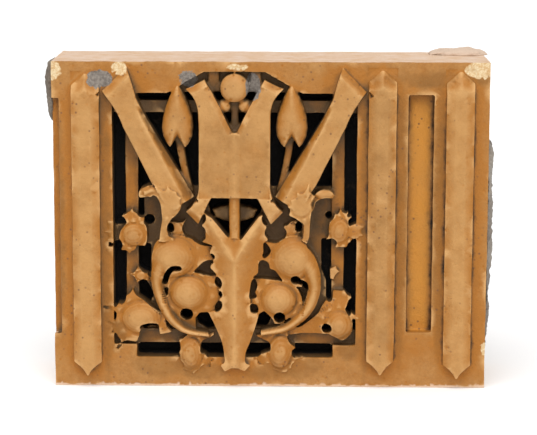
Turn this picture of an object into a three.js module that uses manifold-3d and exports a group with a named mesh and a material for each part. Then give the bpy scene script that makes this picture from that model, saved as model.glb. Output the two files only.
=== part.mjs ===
// A hand-pressed terracotta facing block with openwork relief, and the old mortar on its joint faces.
// Millimetres. X runs along the panel, Y from its face into the wall, Z up, from the underside's centre.
import * as THREE from 'three';
import { ConvexGeometry } from 'three/addons/geometries/ConvexGeometry.js';
import { mergeVertices } from 'three/addons/utils/BufferGeometryUtils.js';
import Module from 'manifold-3d';

const wasm = await Module();
wasm.setup();

// The block
const WIDTH = 406;
const HEIGHT = 308;
const DEPTH = 102;
const FACE = -DEPTH / 2;
const WALL = 28;
const SHELL = 27;

// Levels of the relief, as depths behind the face. A negative one stands proud of it.
const PROUD = -8;
const GROUND = 33;
const LATTICE = 10;
const BACKING = 13;
const STEM = 4;
const ROOT = 4;

// The relief is set out from this upright axis. A place is [out from the axis, height].
const AXIS_X = -33;
const FIELD = { half: 114, bottom: 40, top: 279 };
const LOW_SLOT = { half: 92.5, bottom: 28 };
const GABLE = { half: 28, foot: 64, top: 299 };
const UPRIGHT = { inner: 91, outer: 102.5 };
const TOP_RAIL = { low: 260, high: 271 };
const LOW_RAIL = { low: 40, high: 53 };

// The three pointed bars and the sunk slot between the right two
const BAR = { half: 12.8, wall: 5.5, facet: 8, rise: 2.5, point: 13 };
const BAR_PLACES = [
  { x: -171.5, low: 24, high: 286 },
  { x: 104, low: 26, high: 290 },
  { x: 176, low: 23, high: 289 },
];
const SLOT = { x: 140, half: 12, low: 53, high: 278, depth: 13 };

// Outlines of the foliage, clockwise as seen. A corner is [X, Z, bow]: the side that starts there bows
// out by that share of its length, and a negative bow gives the hollow between two thorns.
const LEAF = [
  [-60.5, 166.5], [-54.5, 162.8], [-37, 141.4], [-27, 141.4], [-10.4, 163.8], [-6.5, 166, -0.1],
  [-2.8, 154.5, -0.12], [-1.2, 142, -0.15], [-6.2, 136], [-6, 129.5, -0.1], [-4.8, 122.6, -0.1],
  [-10.8, 118.3], [-10.8, 111.5, 0.1], [-15.5, 106.5], [-17.8, 99.5], [-19.5, 88], [-19, 83.5],
  [-18.2, 72.5, -0.1], [-9.6, 72.3], [-13.9, 56.9], [-18.8, 42.7, -0.03], [-22.6, 33], [-23.2, 26, -0.15],
  [-18.3, 21.5], [-23.6, 15.8], [-30, 19], [-36.5, 19], [-42.3, 15.8], [-46.3, 21.6, -0.15], [-42.2, 27],
  [-43.6, 38.5, -0.03], [-47, 49.7], [-52, 60.8], [-57.2, 71], [-48.8, 72, -0.1], [-46, 84.9, -0.12],
  [-46.4, 93.8, -0.12], [-49.2, 107], [-51.2, 110], [-55.8, 114.5, 0.15], [-53, 118.5],
  [-51.8, 121.8, -0.15], [-55, 129], [-52.5, 136.2], [-58.5, 138], [-64.5, 139.5, -0.15],
  [-60.3, 147, -0.1], [-64, 155.4, -0.1],
];
// The lobes: outline, level of the flat rim, and the crown as centre, half sizes and rise above the rim
const LOBES = [
  {
    // Left curled leaf
    outline: [
      [-121.5, 181.7, 0.25], [-117, 191, 0.12], [-109.3, 192.6, 0.08], [-99.4, 187.4, -0.15],
      [-95, 193, -0.1], [-86.8, 188.3, -0.2], [-81.9, 182.4, -0.22], [-82.4, 174.6, 0.1], [-91.5, 163],
      [-95.5, 156], [-95, 146], [-91, 141], [-103, 141], [-101.8, 152], [-100.2, 162], [-101.2, 174],
      [-104.4, 184, -0.2], [-110.8, 181.9, -0.15], [-116.5, 182.2],
    ],
    rim: -9,
    crown: [-92.5, 177, 9, 11, 1.6],
  },
  {
    // Left small leaf
    outline: [
      [-96, 158.5], [-85.3, 156.5, -0.12], [-78.6, 159.5, -0.25], [-77.6, 142.6, -0.1], [-84, 144, -0.1],
      [-92, 141], [-101, 142], [-100, 152],
    ],
    rim: 0,
    crown: [-87, 151, 5, 6, 1],
  },
  {
    // Left upper lobe
    outline: [
      [-105, 140, 0.08], [-97, 143.6, 0.04], [-83, 143.8, 0.04], [-73, 142, -0.1], [-50.3, 136, -0.35],
      [-51.2, 121, -0.18], [-67, 116], [-72.5, 110], [-80, 106], [-90, 97], [-101, 95], [-110.5, 104],
      [-110.6, 118, 0.05], [-109, 132, 0.1],
    ],
    rim: -2,
    crown: [-90.5, 124.5, 19.5, 18, 7.5],
  },
  {
    // Left lower lobe
    outline: [
      [-92.5, 104, 0.2], [-86, 106.5, -0.05], [-79.6, 107.5, 0.05], [-70, 109.3, 0.03], [-62, 107.2, 0.05],
      [-57, 106, -0.05], [-49.3, 107.5, -0.3], [-46.2, 93.8, -0.3], [-45.4, 84.8, -0.3],
      [-48, 67.3, -0.15], [-58.6, 71.8], [-66, 71.3], [-70, 66], [-70, 55.5], [-78, 57], [-86, 61.5, 0.1],
      [-92, 72, 0.1], [-94.5, 84, 0.1], [-94.3, 96, 0.08],
    ],
    rim: -2,
    crown: [-76, 90.5, 16.5, 15.5, 8],
  },
  {
    // Left shell
    outline: [
      [-129.2, 93.8, -0.12], [-123, 86], [-115, 80], [-103, 70.5], [-99, 64.5], [-97.5, 57], [-92.7, 52],
      [-103.5, 50.5], [-104, 58], [-112, 56], [-122.8, 54], [-123, 50], [-125.5, 43], [-134, 44, -0.1],
      [-143.4, 36.5, -0.2], [-143.2, 47.5, -0.1], [-147.4, 52, -0.25], [-151.4, 61.3, -0.2],
      [-144.6, 65.5, -0.05], [-144.3, 71.5, -0.05], [-155.4, 75.9, -0.05], [-144.4, 76.3],
      [-142.8, 79.6, -0.2], [-136.2, 81.5, -0.05], [-135, 87.5, -0.1],
    ],
    rim: -2,
    crown: [-121, 66.5, 17, 14.5, 7],
  },
  {
    // Left low thorn
    outline: [
      [-124.5, 115.2, -0.15], [-115, 108], [-112, 100], [-119, 102.3, -0.1], [-125, 98.6, -0.2],
      [-135.4, 107.2, -0.2],
    ],
    rim: 2,
    crown: [-121, 106, 5, 4, 1],
  },
  {
    // Left outer leaf
    outline: [
      [-129.3, 170.8, -0.1], [-125.3, 165.5], [-122.5, 162], [-116.5, 161.2, -0.2], [-116.3, 154, 0.05],
      [-115.2, 146, 0.05], [-116.7, 135], [-124.6, 135.6], [-127, 130.5, -0.15], [-131.8, 126.8, -0.25],
      [-140.4, 130, -0.2], [-141.4, 141.5, 0.05], [-139.2, 150], [-135.5, 154.5, -0.2],
      [-134.8, 159.5, -0.15], [-139.8, 163.2, -0.15], [-133.5, 166, -0.1],
    ],
    rim: -1,
    crown: [-127.5, 145.5, 10, 10, 4],
  },
  {
    // Left web
    outline: [
      [-150, 152], [-137, 154], [-137, 141], [-150, 135],
    ],
    rim: 13,
  },
  {
    // Left wall thorns
    outline: [
      [-146.5, 158], [-146.5, 138], [-152, 140.5, -0.1], [-150, 146], [-155.2, 149, -0.1], [-150.5, 152],
      [-151.8, 158.8],
    ],
    rim: -1.6,
  },
  {
    // Left foot lobe
    outline: [
      [-86.9, 45, -0.15], [-80, 47.5], [-75.4, 50], [-62, 49.5], [-52, 50.8, 0.1], [-60, 46, -0.1],
      [-65.2, 41], [-65.7, 36, -0.2], [-60.5, 30.5, -0.1], [-54, 26, -0.2], [-57, 19.6, -0.35],
      [-66.4, 16.4, -0.1], [-71.9, 12.3, -0.1], [-77.5, 15.6], [-82, 16.6, -0.3], [-84.8, 25.5, -0.1],
      [-86, 32.5, -0.15], [-84.2, 39.3, -0.1],
    ],
    rim: -1.5,
    crown: [-74.5, 32, 10.5, 14, 5],
  },
  {
    // Right curled leaf
    outline: [
      [36.9, 197.3, -0.04], [36.6, 188.3], [41, 184], [37.5, 177], [38.6, 171], [37.8, 164], [37.3, 155],
      [37, 146], [35, 140], [31, 142], [31.6, 151], [31.5, 157.5], [24.8, 162.8], [17.6, 166.2, -0.2],
      [17, 174, -0.2], [19.1, 180.8, -0.2], [25.5, 188.6, -0.2], [31.5, 187, -0.03],
    ],
    rim: -9,
    crown: [29, 175, 9, 10, 1.6],
  },
  {
    // Right curl
    outline: [
      [38, 170], [37.8, 177, -0.05], [42, 184.5, 0.1], [46, 188.5, 0.12], [53, 189.5, 0.12],
      [60.2, 184.3, 0.1], [57, 181.3, -0.08], [46.5, 180.5, -0.1], [42, 175.5], [40.5, 170],
    ],
    rim: -4,
    crown: [50, 185.2, 9, 4.2, 2.5],
  },
  {
    // Right small leaf
    outline: [
      [31, 158.5], [37, 153], [37, 145], [31, 142.5], [25, 145], [22.5, 144], [14.4, 143.2, -0.2],
      [12, 153.8, -0.1], [19.2, 158], [25, 160],
    ],
    rim: 0,
    crown: [20, 151, 5.5, 6, 1],
  },
  {
    // Right upper lobe
    outline: [
      [-6.2, 140.5, -0.05], [7, 138.3], [14.2, 142.7, 0.08], [25, 144.4, 0.08], [33.5, 139.5],
      [35, 134.5, 0.05], [41, 127.5, 0.05], [46, 113.4, 0.03], [47.4, 100], [38, 95], [28, 97], [16, 98],
      [10.2, 105.5], [6.6, 110.6, -0.1], [0.2, 113.6], [-0.6, 119, -0.1], [-6.9, 122.2, -0.42],
    ],
    rim: -2,
    crown: [22, 124, 18.5, 18, 7.5],
  },
  {
    // Right lower lobe
    outline: [
      [-17, 106.2, -0.1], [-7.5, 104.2], [0.1, 103.4], [9.1, 102.2, 0.05], [17, 97.5, 0.08],
      [26.4, 94.5, 0.05], [30.2, 85.5, 0.05], [29.3, 77, 0.05], [25.3, 69.9], [15.6, 66], [12.2, 60.8],
      [5, 61], [2.5, 66.5], [-5, 73.8], [-15.1, 68, -0.25], [-12, 79.8], [-25.8, 82.5],
      [-12.3, 85.7, -0.1], [-13.8, 91.2, -0.25],
    ],
    rim: -2,
    crown: [8.5, 84.5, 15.5, 14.5, 8],
  },
  {
    // Right shell
    outline: [
      [15, 52], [30.9, 58.8], [42.6, 67.3], [46.7, 72], [50, 79], [54, 85], [59, 92.5, 0.05],
      [70.6, 91.8, -0.1], [77.6, 86.4, -0.15], [72.5, 79], [70.5, 75.5, -0.05], [75, 68, 0.1],
      [78, 59, 0.12], [74, 49, 0.1], [67.8, 45.4, 0.05], [62.2, 48.8], [56, 51.8], [42, 51.7], [32.3, 52],
      [17, 50],
    ],
    rim: -1,
    crown: [65, 60.5, 12, 12.5, 6],
  },
  {
    // Right wall thorn
    outline: [
      [76.5, 71.5], [84.4, 66.6], [76.5, 66],
    ],
    rim: -1.6,
  },
  {
    // Right low thorn
    outline: [
      [56.5, 112.5], [62, 115.2, -0.1], [66.8, 109.6, -0.1], [62.5, 107, -0.1], [61, 101.5], [56.5, 103],
    ],
    rim: 7,
  },
  {
    // Right outer leaf
    outline: [
      [66.2, 171.6, -0.15], [69.8, 166.3, -0.1], [74.6, 168, -0.2], [72.2, 162.6], [77.3, 163.4, -0.2],
      [73.2, 156], [73.8, 150], [78, 147.3], [82, 144, -0.1], [75, 139.8, -0.1], [72.5, 136.5],
      [71.6, 134.6, -0.05], [60.6, 134.5, -0.15], [62.8, 139.8, -0.1], [58, 143.5, -0.05], [53, 142, -0.1],
      [55, 150, 0.03], [56, 158], [59.5, 162, -0.1], [60, 166.3, -0.1], [64, 166],
    ],
    rim: -1,
    crown: [65, 150.5, 9, 11, 4],
  },
  {
    // Right wall thorns
    outline: [
      [79.5, 156.5], [88.6, 154.5, -0.1], [84.5, 150.5, -0.1], [87.2, 146.4], [80, 143], [73, 147],
      [73, 154],
    ],
    rim: -1.6,
  },
  {
    // Right foot lobe
    outline: [
      [-12.8, 49, 0.05], [-3.7, 49.8], [3.2, 51.6], [15, 55], [15.7, 50.4, -0.05], [19.2, 42],
      [24.5, 37.8, -0.2], [21.4, 29.5], [24.2, 27], [30.4, 28.4, -0.1], [23, 23.6, -0.2], [20.6, 18, -0.2],
      [16.6, 15], [10.4, 14.3], [3.8, 17.3, -0.35], [2, 23], [-2.9, 23.4], [-9.2, 21.8, -0.2],
      [-14, 27.3, -0.1], [-8, 31.5], [-0.6, 33.5, -0.1], [1.3, 38.3, -0.1], [-2.3, 44.6],
    ],
    rim: -1.5,
    crown: [10, 34, 10.5, 15, 5],
  },
];
// Rounded bodies of the scrolls: places along the middle, the width at each, and the level
const BANDS = [
  {
    places: [
      [-93, 127], [-102.5, 116], [-105.8, 100], [-101.6, 83.5],
      [-96, 71], [-88, 60.8], [-76, 53.3], [-58, 50.3],
    ],
    widths: [26, 15, 10.5, 10, 9, 8, 6, 4],
    level: -5,
  },
  {
    places: [[24, 127], [37, 116], [42, 101], [40, 86], [34, 73.5], [25, 64], [13, 56.5], [-8, 52]],
    widths: [26, 17, 12, 11, 10, 9, 7, 5],
    level: -5,
  },
  {
    places: [[-116, 186.5], [-108.5, 188.8], [-101, 184.5], [-97, 177]],
    widths: [8, 8, 9, 9],
    level: -7,
  },
];
// Drilled eyes: places along the middle of each, and its radius
const EYES = [
  { places: [[-93, 154], [-93, 150.5]], radius: 3.1 },
  { places: [[27, 155.5], [27, 151.5]], radius: 3.2 },
  { places: [[-113.6, 158]], radius: 4.8 },
  { places: [[55.3, 163]], radius: 3.7 },
  { places: [[-85, 114.6], [-91.5, 114], [-96, 108.5], [-98.4, 101]], radius: 2.9 },
  { places: [[24, 103.4]], radius: 4.7 },
  { places: [[27, 102], [32.5, 99.4], [34, 95]], radius: 2.8 },
  { places: [[-78.3, 70]], radius: 6.3 },
  { places: [[9.2, 67.3]], radius: 5.7 },
  { places: [[-119, 57.3], [-113, 58.8], [-107.5, 58.3]], radius: 3.4 },
  { places: [[53.7, 57]], radius: 5 },
  { places: [[-119.5, 96], [-114, 85.5]], radius: 4 },
  { places: [[56.6, 96.5], [56.3, 84.5]], radius: 2.9 },
  { places: [[-55.5, 37.5], [-52, 36]], radius: 6 },
  { places: [[-4.5, 38.5], [-9, 36.5]], radius: 5.5 },
];
// Gaps through to the ground, beside the foot of the leaf
const GAPS = [
  [[-70.2, 66], [-66, 71.8], [-59, 72], [-51.5, 54.5], [-58.8, 53], [-67.5, 58.5]],
  [[-14.3, 68.5], [-5.2, 74], [2.2, 66], [-2.4, 56], [-12.8, 55.2]],
];
// The clay left behind the openwork on each side, half way down to the ground
const BACKING_SHAPES = [
  [
    [-118.5, 190], [-62, 190], [-55, 160], [-46, 130], [-46, 70], [-46, 42], [-86, 42], [-103, 44],
    [-119, 44], [-112, 70], [-112, 82], [-117, 100], [-113, 106], [-112, 134], [-118.5, 136],
  ],
  [
    [-5, 190], [58, 190], [58, 142], [48, 140], [48, 112], [53, 100], [53, 82], [46, 70], [60, 52],
    [30, 42], [-20, 42], [-19, 70], [-19, 130], [-10, 160],
  ],
];

// Damage: spalls off the top wall's back edge, and the rebate along the left arris
const SPALLS = [
  { x: -73, half: 20, deep: 6, reach: 36 },
  { x: 158, half: 7, deep: 4, reach: 30 },
];
const REBATE = { width: 6.5, low: 50, high: 274, depth: 9 };

// Old mortar on the left joint, the right joint and the top bed, clear of the block by a small gap
const GAP = 0.3;
const QUARTER = Math.PI / 2;
const MORTAR = [
  {
    name: 'mortar_left',
    size: { long: 57, wide: 48, thick: [6, 8.5], waves: 5 },
    at: [-WIDTH / 2 - GAP, FACE + 30, HEIGHT - 31],
    turn: [0, -QUARTER, 0],
  },
  {
    name: 'mortar_right',
    size: { long: 205, wide: 62, thick: [6, 2], waves: 4 },
    at: [WIDTH / 2 + GAP, FACE + 44, 130],
    turn: [0, QUARTER, 0],
  },
  {
    name: 'mortar_top',
    size: { long: 44, wide: 34, thick: [7.5, 8], waves: 3 },
    at: [184, FACE + DEPTH - 19, HEIGHT + GAP],
    turn: [0, 0, 0],
  },
];

function solid(geometry) {
  geometry.deleteAttribute('normal');
  geometry.deleteAttribute('uv');
  const merged = mergeVertices(geometry, 1e-4);
  return new wasm.Manifold(new wasm.Mesh({
    numProp: 3,
    vertProperties: new Float32Array(merged.attributes.position.array),
    triVerts: new Uint32Array(merged.index.array),
  }));
}

function joined(solids) {
  return solids.reduce((whole, next) => whole.add(next));
}

function block(x, z, front, back) {
  const geometry = new THREE.BoxGeometry(x[1] - x[0], back - front, z[1] - z[0]);
  geometry.translate((x[0] + x[1]) / 2, FACE + (front + back) / 2, (z[0] + z[1]) / 2);
  return solid(geometry);
}

// A flat shape in X and Z, given thickness between two depths, with a bevelled edge if one is given.
function plate(shape, front, back, edge = 0, drop = edge) {
  const geometry = new THREE.ExtrudeGeometry(shape, {
    depth: back - front - 2 * drop,
    bevelEnabled: edge > 0,
    bevelSize: edge,
    bevelOffset: -edge,
    bevelThickness: drop,
    bevelSegments: 1,
    curveSegments: 5,
  });
  geometry.rotateX(Math.PI / 2);
  geometry.translate(0, FACE + back - drop, 0);
  return solid(geometry);
}

// Turns [out, height] into X and Z on one side of the axis, -1 for left and 1 for right.
function place(side, [out, z]) {
  return new THREE.Vector2(AXIS_X + side * out, z);
}

function sideShape(side, points) {
  const placed = points.map((point) => place(side, point));
  return new THREE.Shape(side > 0 ? placed : placed.reverse());
}

// Points along a quarter-like sweep from one place to another, bulging towards a third.
function sweep(start, bulge, end, steps = 5) {
  const curve = new THREE.QuadraticBezierCurve(
    new THREE.Vector2(...start),
    new THREE.Vector2(...bulge),
    new THREE.Vector2(...end),
  );
  return curve.getPoints(steps).map((point) => [point.x, point.y]);
}

// A band of changing width along a smooth line through the given places in X and Z.
function ribbon(places, widths, front, back, edge = 1.5) {
  const curve = new THREE.SplineCurve(places.map((at) => new THREE.Vector2(...at)));
  const steps = places.length * 2;
  const near = [];
  const far = [];
  for (let step = 0; step <= steps; step += 1) {
    const along = step / steps;
    const at = curve.getPoint(along);
    const tangent = curve.getTangent(along);
    const span = Math.min(Math.floor(along * (widths.length - 1)), widths.length - 2);
    const share = along * (widths.length - 1) - span;
    const half = THREE.MathUtils.lerp(widths[span], widths[span + 1], share) / 2;
    near.push(new THREE.Vector2(at.x - tangent.y * half, at.y + tangent.x * half));
    far.unshift(new THREE.Vector2(at.x + tangent.y * half, at.y - tangent.x * half));
  }
  return plate(new THREE.Shape([...near, ...far]), front, back, edge);
}

// Follows the corners of an outline, and bows each side out or in by its share of its length.
function bowed(corners, parts = 3) {
  return corners.flatMap(([x, z, bow = 0], corner) => {
    const [endX, endZ] = corners[(corner + 1) % corners.length];
    const steps = bow ? parts : 1;
    return Array.from({ length: steps }, (_, step) => {
      const share = step / steps;
      const swell = 4 * share * (1 - share) * bow;
      return new THREE.Vector2(
        x + (endX - x) * share - (endZ - z) * swell,
        z + (endZ - z) * share + (endX - x) * swell,
      );
    });
  });
}

// An oval dome with its foot sunk just below the rim it stands on.
function crownOf([x, z, halfX, halfZ, rise], rim) {
  const geometry = new THREE.SphereGeometry(1, 14, 8);
  geometry.rotateX(-QUARTER);
  geometry.scale(halfX, rise + 0.5, halfZ);
  geometry.translate(x, FACE + rim + 0.5, z);
  return solid(geometry);
}

// A domed solid: rings of one outline, each smaller and prouder than the one outside it.
function dome(side, centre, outline, radius, rim, crown, back) {
  const turned = outline.map(([angle, reach]) => [side > 0 ? angle : 180 - angle, reach]);
  if (side < 0) turned.reverse();
  const middle = place(side, centre);
  const rings = [1, 0.82, 0.5];
  const count = turned.length;
  const positions = [];
  const addRing = (share, depth) => {
    for (const [angle, reach] of turned) {
      const tooth = (reach - radius) * share ** 4;
      const across = radius * share + tooth;
      const turn = THREE.MathUtils.degToRad(angle);
      positions.push(middle.x + across * Math.cos(turn), FACE + depth, middle.y + across * Math.sin(turn));
    }
  };
  for (const share of rings) addRing(share, rim - crown * Math.sqrt(1 - share ** 2));
  addRing(1, back);
  positions.push(middle.x, FACE + rim - crown, middle.y);
  positions.push(middle.x, FACE + back, middle.y);
  const index = [];
  const base = rings.length * count;
  const top = base + count;
  for (let point = 0; point < count; point += 1) {
    const next = (point + 1) % count;
    for (let ring = 0; ring + 1 < rings.length; ring += 1) {
      const outer = ring * count;
      const inner = outer + count;
      index.push(inner + point, outer + point, outer + next);
      index.push(inner + point, outer + next, inner + next);
    }
    index.push(point, base + point, base + next);
    index.push(point, base + next, next);
    index.push(top, (rings.length - 1) * count + point, (rings.length - 1) * count + next);
    index.push(top + 1, base + next, base + point);
  }
  const geometry = new THREE.BufferGeometry();
  geometry.setAttribute('position', new THREE.Float32BufferAttribute(positions, 3));
  geometry.setIndex(index);
  return solid(geometry);
}

// A wedge cut off a flat piece along the edge from one place to another.
function edgeCut(side, from, to, widths, drop) {
  const start = place(side, from);
  const end = place(side, to);
  const along = end.clone().sub(start).normalize();
  const inward = new THREE.Vector2(-along.y, along.x).multiplyScalar(side);
  const points = [[start, widths[0]], [end, widths[1]]].flatMap(([at, width]) => [
    [at.clone().addScaledVector(inward, width), PROUD],
    [at.clone().addScaledVector(inward, width), PROUD - 3],
    [at.clone().addScaledVector(inward, -3), PROUD - 3],
    [at.clone().addScaledVector(inward, -3), PROUD + drop],
    [at.clone(), PROUD + drop],
  ]);
  const corners = points.map(([at, depth]) => new THREE.Vector3(at.x, FACE + depth, at.y));
  return solid(new ConvexGeometry(corners));
}

// The block with its two open cells behind
function body() {
  const field = [AXIS_X - FIELD.half, AXIS_X + FIELD.half];
  const cells = [
    [-WIDTH / 2 + WALL, AXIS_X + FIELD.half + 8, GROUND + SHELL],
    [AXIS_X + FIELD.half + 8 + WALL, WIDTH / 2 - WALL, SLOT.depth + SHELL],
  ];
  let whole = block([-WIDTH / 2, WIDTH / 2], [0, HEIGHT], 0, DEPTH);
  whole = whole.subtract(block(field, [FIELD.bottom, FIELD.top], -1, GROUND));
  whole = whole.subtract(block(
    [AXIS_X - LOW_SLOT.half, AXIS_X + LOW_SLOT.half],
    [LOW_SLOT.bottom, FIELD.bottom + 1],
    -1,
    GROUND,
  ));
  const gable = new THREE.Shape([
    new THREE.Vector2(AXIS_X - GABLE.foot, FIELD.top - 1),
    new THREE.Vector2(AXIS_X + GABLE.foot, FIELD.top - 1),
    new THREE.Vector2(AXIS_X + GABLE.half, GABLE.top),
    new THREE.Vector2(AXIS_X - GABLE.half, GABLE.top),
  ]);
  whole = whole.subtract(plate(gable, -1, LATTICE));
  for (const [left, right, depth] of cells) {
    whole = whole.subtract(block([left, right], [WALL, HEIGHT - WALL], depth, DEPTH + 1));
  }
  const slot = [SLOT.x - SLOT.half, SLOT.x + SLOT.half];
  whole = whole.subtract(block(slot, [SLOT.low, SLOT.high], -1, SLOT.depth));
  const rebate = [-WIDTH / 2 - 1, -WIDTH / 2 + REBATE.width];
  return whole.subtract(block(rebate, [REBATE.low, REBATE.high], -1, REBATE.depth));
}

// Shallow spalls off the top bed's back edge
function spalls() {
  return SPALLS.map(({ x, half, deep, reach }) => {
    const corners = [
      [x - half, DEPTH + 1, HEIGHT + 1],
      [x + half, DEPTH + 1, HEIGHT + 1],
      [x - half * 0.7, DEPTH + 1, HEIGHT - deep],
      [x + half * 0.5, DEPTH + 1, HEIGHT - deep * 0.8],
      [x - half * 0.6, DEPTH - reach, HEIGHT + 1],
      [x + half * 0.2, DEPTH - reach * 0.8, HEIGHT + 1],
    ];
    const points = corners.map(([px, depth, pz]) => new THREE.Vector3(px, FACE + depth, pz));
    return solid(new ConvexGeometry(points));
  });
}

function bars() {
  return BAR_PLACES.map(({ x, low, high }) => {
    const outline = [
      ...sweep([BAR.half, low], [4, low - 5], [1, low - BAR.point], 4),
      ...sweep([-1, low - BAR.point], [-4, low - 5], [-BAR.half, low], 4),
      [-BAR.half, high],
      [0, high + BAR.point * 0.8],
      [BAR.half, high],
    ];
    const shape = new THREE.Shape(outline.map(([out, z]) => new THREE.Vector2(x + out, z)));
    const wall = plate(shape, -BAR.wall, ROOT);
    const shoulders = [-1, 1].flatMap((end) => {
      const z = end > 0 ? high : low;
      const inset = z - end * 3;
      return [
        new THREE.Vector3(x - BAR.half, FACE - BAR.wall, z),
        new THREE.Vector3(x + BAR.half, FACE - BAR.wall, z),
        new THREE.Vector3(x, FACE - BAR.wall, z + end * (BAR.point - 3)),
        new THREE.Vector3(x - BAR.half + BAR.facet, FACE - BAR.wall - BAR.rise, inset),
        new THREE.Vector3(x + BAR.half - BAR.facet, FACE - BAR.wall - BAR.rise, inset),
      ];
    });
    const roots = shoulders.slice(0, 2).concat(shoulders.slice(5, 7));
    const sunk = roots.map((point) => point.clone().setY(FACE));
    return wall.add(solid(new ConvexGeometry([...shoulders, ...sunk])));
  });
}

// The lattice of flat rails that the relief crosses, standing on the sunk ground
function lattice() {
  const rails = [TOP_RAIL, LOW_RAIL].map(({ low, high }) => block(
    [AXIS_X - FIELD.half - 1, AXIS_X + FIELD.half + 1],
    [low, high],
    LATTICE,
    GROUND + 2,
  ));
  const uprights = [-1, 1].map((side) => {
    const edges = [UPRIGHT.inner, UPRIGHT.outer].map((out) => AXIS_X + side * out);
    return block(edges.sort((a, b) => a - b), [LOW_RAIL.low - 1, FIELD.top + 1], LATTICE, GROUND + 2);
  });
  return [...rails, ...uprights];
}

// The slanting strap on one side, flared at its head, with a bevelled inner edge and head
function strap(side) {
  const outline = [
    [56, 172],
    [66, 180],
    [76, 194],
    [103, 248],
    ...sweep([104, 251], [110, 266], [122, 281], 4),
    ...sweep([100, 303], [95, 292], [91, 274], 4),
    [82, 255],
    [38, 182],
  ];
  return plate(sideShape(side, outline), PROUD, GROUND + 2, 1.2)
    .subtract(edgeCut(side, [88, 266], [37, 180.3], [3, 9.1], 9))
    .subtract(edgeCut(side, [124, 279], [98, 305], [7, 7], 6));
}

// The flat shield: a body with concave sides, two arms above and two feet below
function shield() {
  const half = [
    [2, 243],
    [22, 282],
    [28, 291],
    ...sweep([45, 283], [34, 275], [33, 258], 4),
    ...sweep([33, 190], [35, 177], [45, 168], 4),
    [34, 156.5],
    [21.5, 181.5],
  ];
  const right = half.map((point) => place(1, point));
  const left = half.map((point) => place(-1, point)).reverse();
  let whole = plate(new THREE.Shape([...right, ...left].reverse()), PROUD, GROUND + 2, 1.2);
  for (const side of [-1, 1]) {
    whole = whole.subtract(edgeCut(side, [46, 282], [27, 292], [6, 6], 5));
    whole = whole.subtract(edgeCut(side, [33, 155.5], [46, 168.5], [6, 6], 5));
  }
  return whole;
}

// The central leaf, falling away on both sides from the ridges along its middle and its two arms
function leaf() {
  let whole = plate(new THREE.Shape(bowed(LEAF)), PROUD, GROUND + 2);
  for (const side of [-1, 1]) {
    whole = whole.subtract(edgeCut(side, [27, 10], [27, 122], [26.5, 26.5], 5));
    whole = whole.subtract(edgeCut(side, [20.5, 109], [49, 156], [24, 24], 5));
  }
  return whole;
}

// A closed flower bud on its stem
function bud(side) {
  const outline = [
    [-86, 27], [-62, 22], [-45, 15.5], [-20, 14.5], [0, 14.5], [28, 15.5], [55, 20], [80, 29], [90, 34],
    [100, 29], [125, 20], [152, 15.5], [180, 14.5], [200, 14.5], [225, 15.5], [242, 22], [266, 27], [270, 13],
  ];
  const stem = [[53, 242], [48, 212], [42, 186]].map(([out, z]) => [AXIS_X + side * out, z]);
  return joined([
    dome(side, [53, 254], outline.map(([angle, reach]) => [angle, reach]), 14.5, -2, 5, GROUND + 2),
    ribbon(stem, [7, 6], STEM, GROUND + 2),
  ]);
}

// The round bud on the axis, with its two berries and stem
function centralBud() {
  const circle = (radius) => Array.from({ length: 14 }, (_, point) => [(point * 360) / 14, radius]);
  const berries = [-1, 1].map((side) => dome(side, [9.5, 267], circle(6), 6, 1, 5, GROUND + 2));
  const sepals = [-1, 1].map((side) => plate(
    sideShape(side, [[14, 280], [25, 280], [24, 300], [15, 300]]),
    STEM,
    LATTICE + 2,
  ));
  return joined([
    dome(1, [0, 284], circle(13.3), 13.3, -4, 5, GROUND + 2),
    ...berries,
    ...sepals,
    ribbon([[AXIS_X, 275], [AXIS_X, 258], [AXIS_X, 240]], [6, 7.5], STEM, GROUND + 2),
  ]);
}

// What shows between the shield and the leaf: the stalk and the calyx behind it
function stalk() {
  const calyx = sideShape(1, [
    ...sweep([-21, 168], [0, 178], [21, 168], 4),
    ...sweep([18, 161], [0, 152], [-18, 161], 4),
  ].reverse());
  return joined([
    ribbon([[AXIS_X, 184], [AXIS_X, 160], [AXIS_X, 138]], [10, 10], -5, GROUND + 2),
    plate(calyx, 7, GROUND + 2),
  ]);
}

// The scrolling foliage on the clay left behind it, drilled through with eyes
function foliage() {
  const toGround = GROUND + 2;
  const backing = BACKING_SHAPES.map((corners) => (
    plate(new THREE.Shape(bowed(corners)), BACKING, toGround)
  ));
  const lobes = LOBES.map(({ outline, rim }) => plate(new THREE.Shape(bowed(outline)), rim, toGround));
  const crowns = LOBES.filter(({ crown }) => crown).map(({ crown, rim }) => crownOf(crown, rim));
  const bands = BANDS.map(({ places, widths, level }) => ribbon(places, widths, level, toGround, 1));
  const eyes = EYES.flatMap(({ places, radius }) => {
    const ends = [places[0], places[places.length - 1]].slice(0, places.length).map(([x, z]) => (
      plate(new THREE.Shape().absarc(x, z, radius, 0, Math.PI * 2), -18, GROUND - 4)
    ));
    if (places.length < 2) return ends;
    return [...ends, ribbon(places, [2 * radius, 2 * radius], -18, GROUND - 4, 0)];
  });
  const gaps = GAPS.map((corners) => plate(new THREE.Shape(bowed(corners)), -18, GROUND - 1));
  return joined([...backing, ...lobes, ...crowns, ...bands]).subtract(joined([...eyes, ...gaps]));
}

function panel() {
  const relief = [
    ...bars(),
    ...lattice(),
    strap(-1),
    strap(1),
    shield(),
    leaf(),
    bud(-1),
    bud(1),
    centralBud(),
    stalk(),
    foliage(),
  ];
  return spalls().reduce((whole, spall) => whole.subtract(spall), joined([body(), ...relief]));
}

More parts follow.
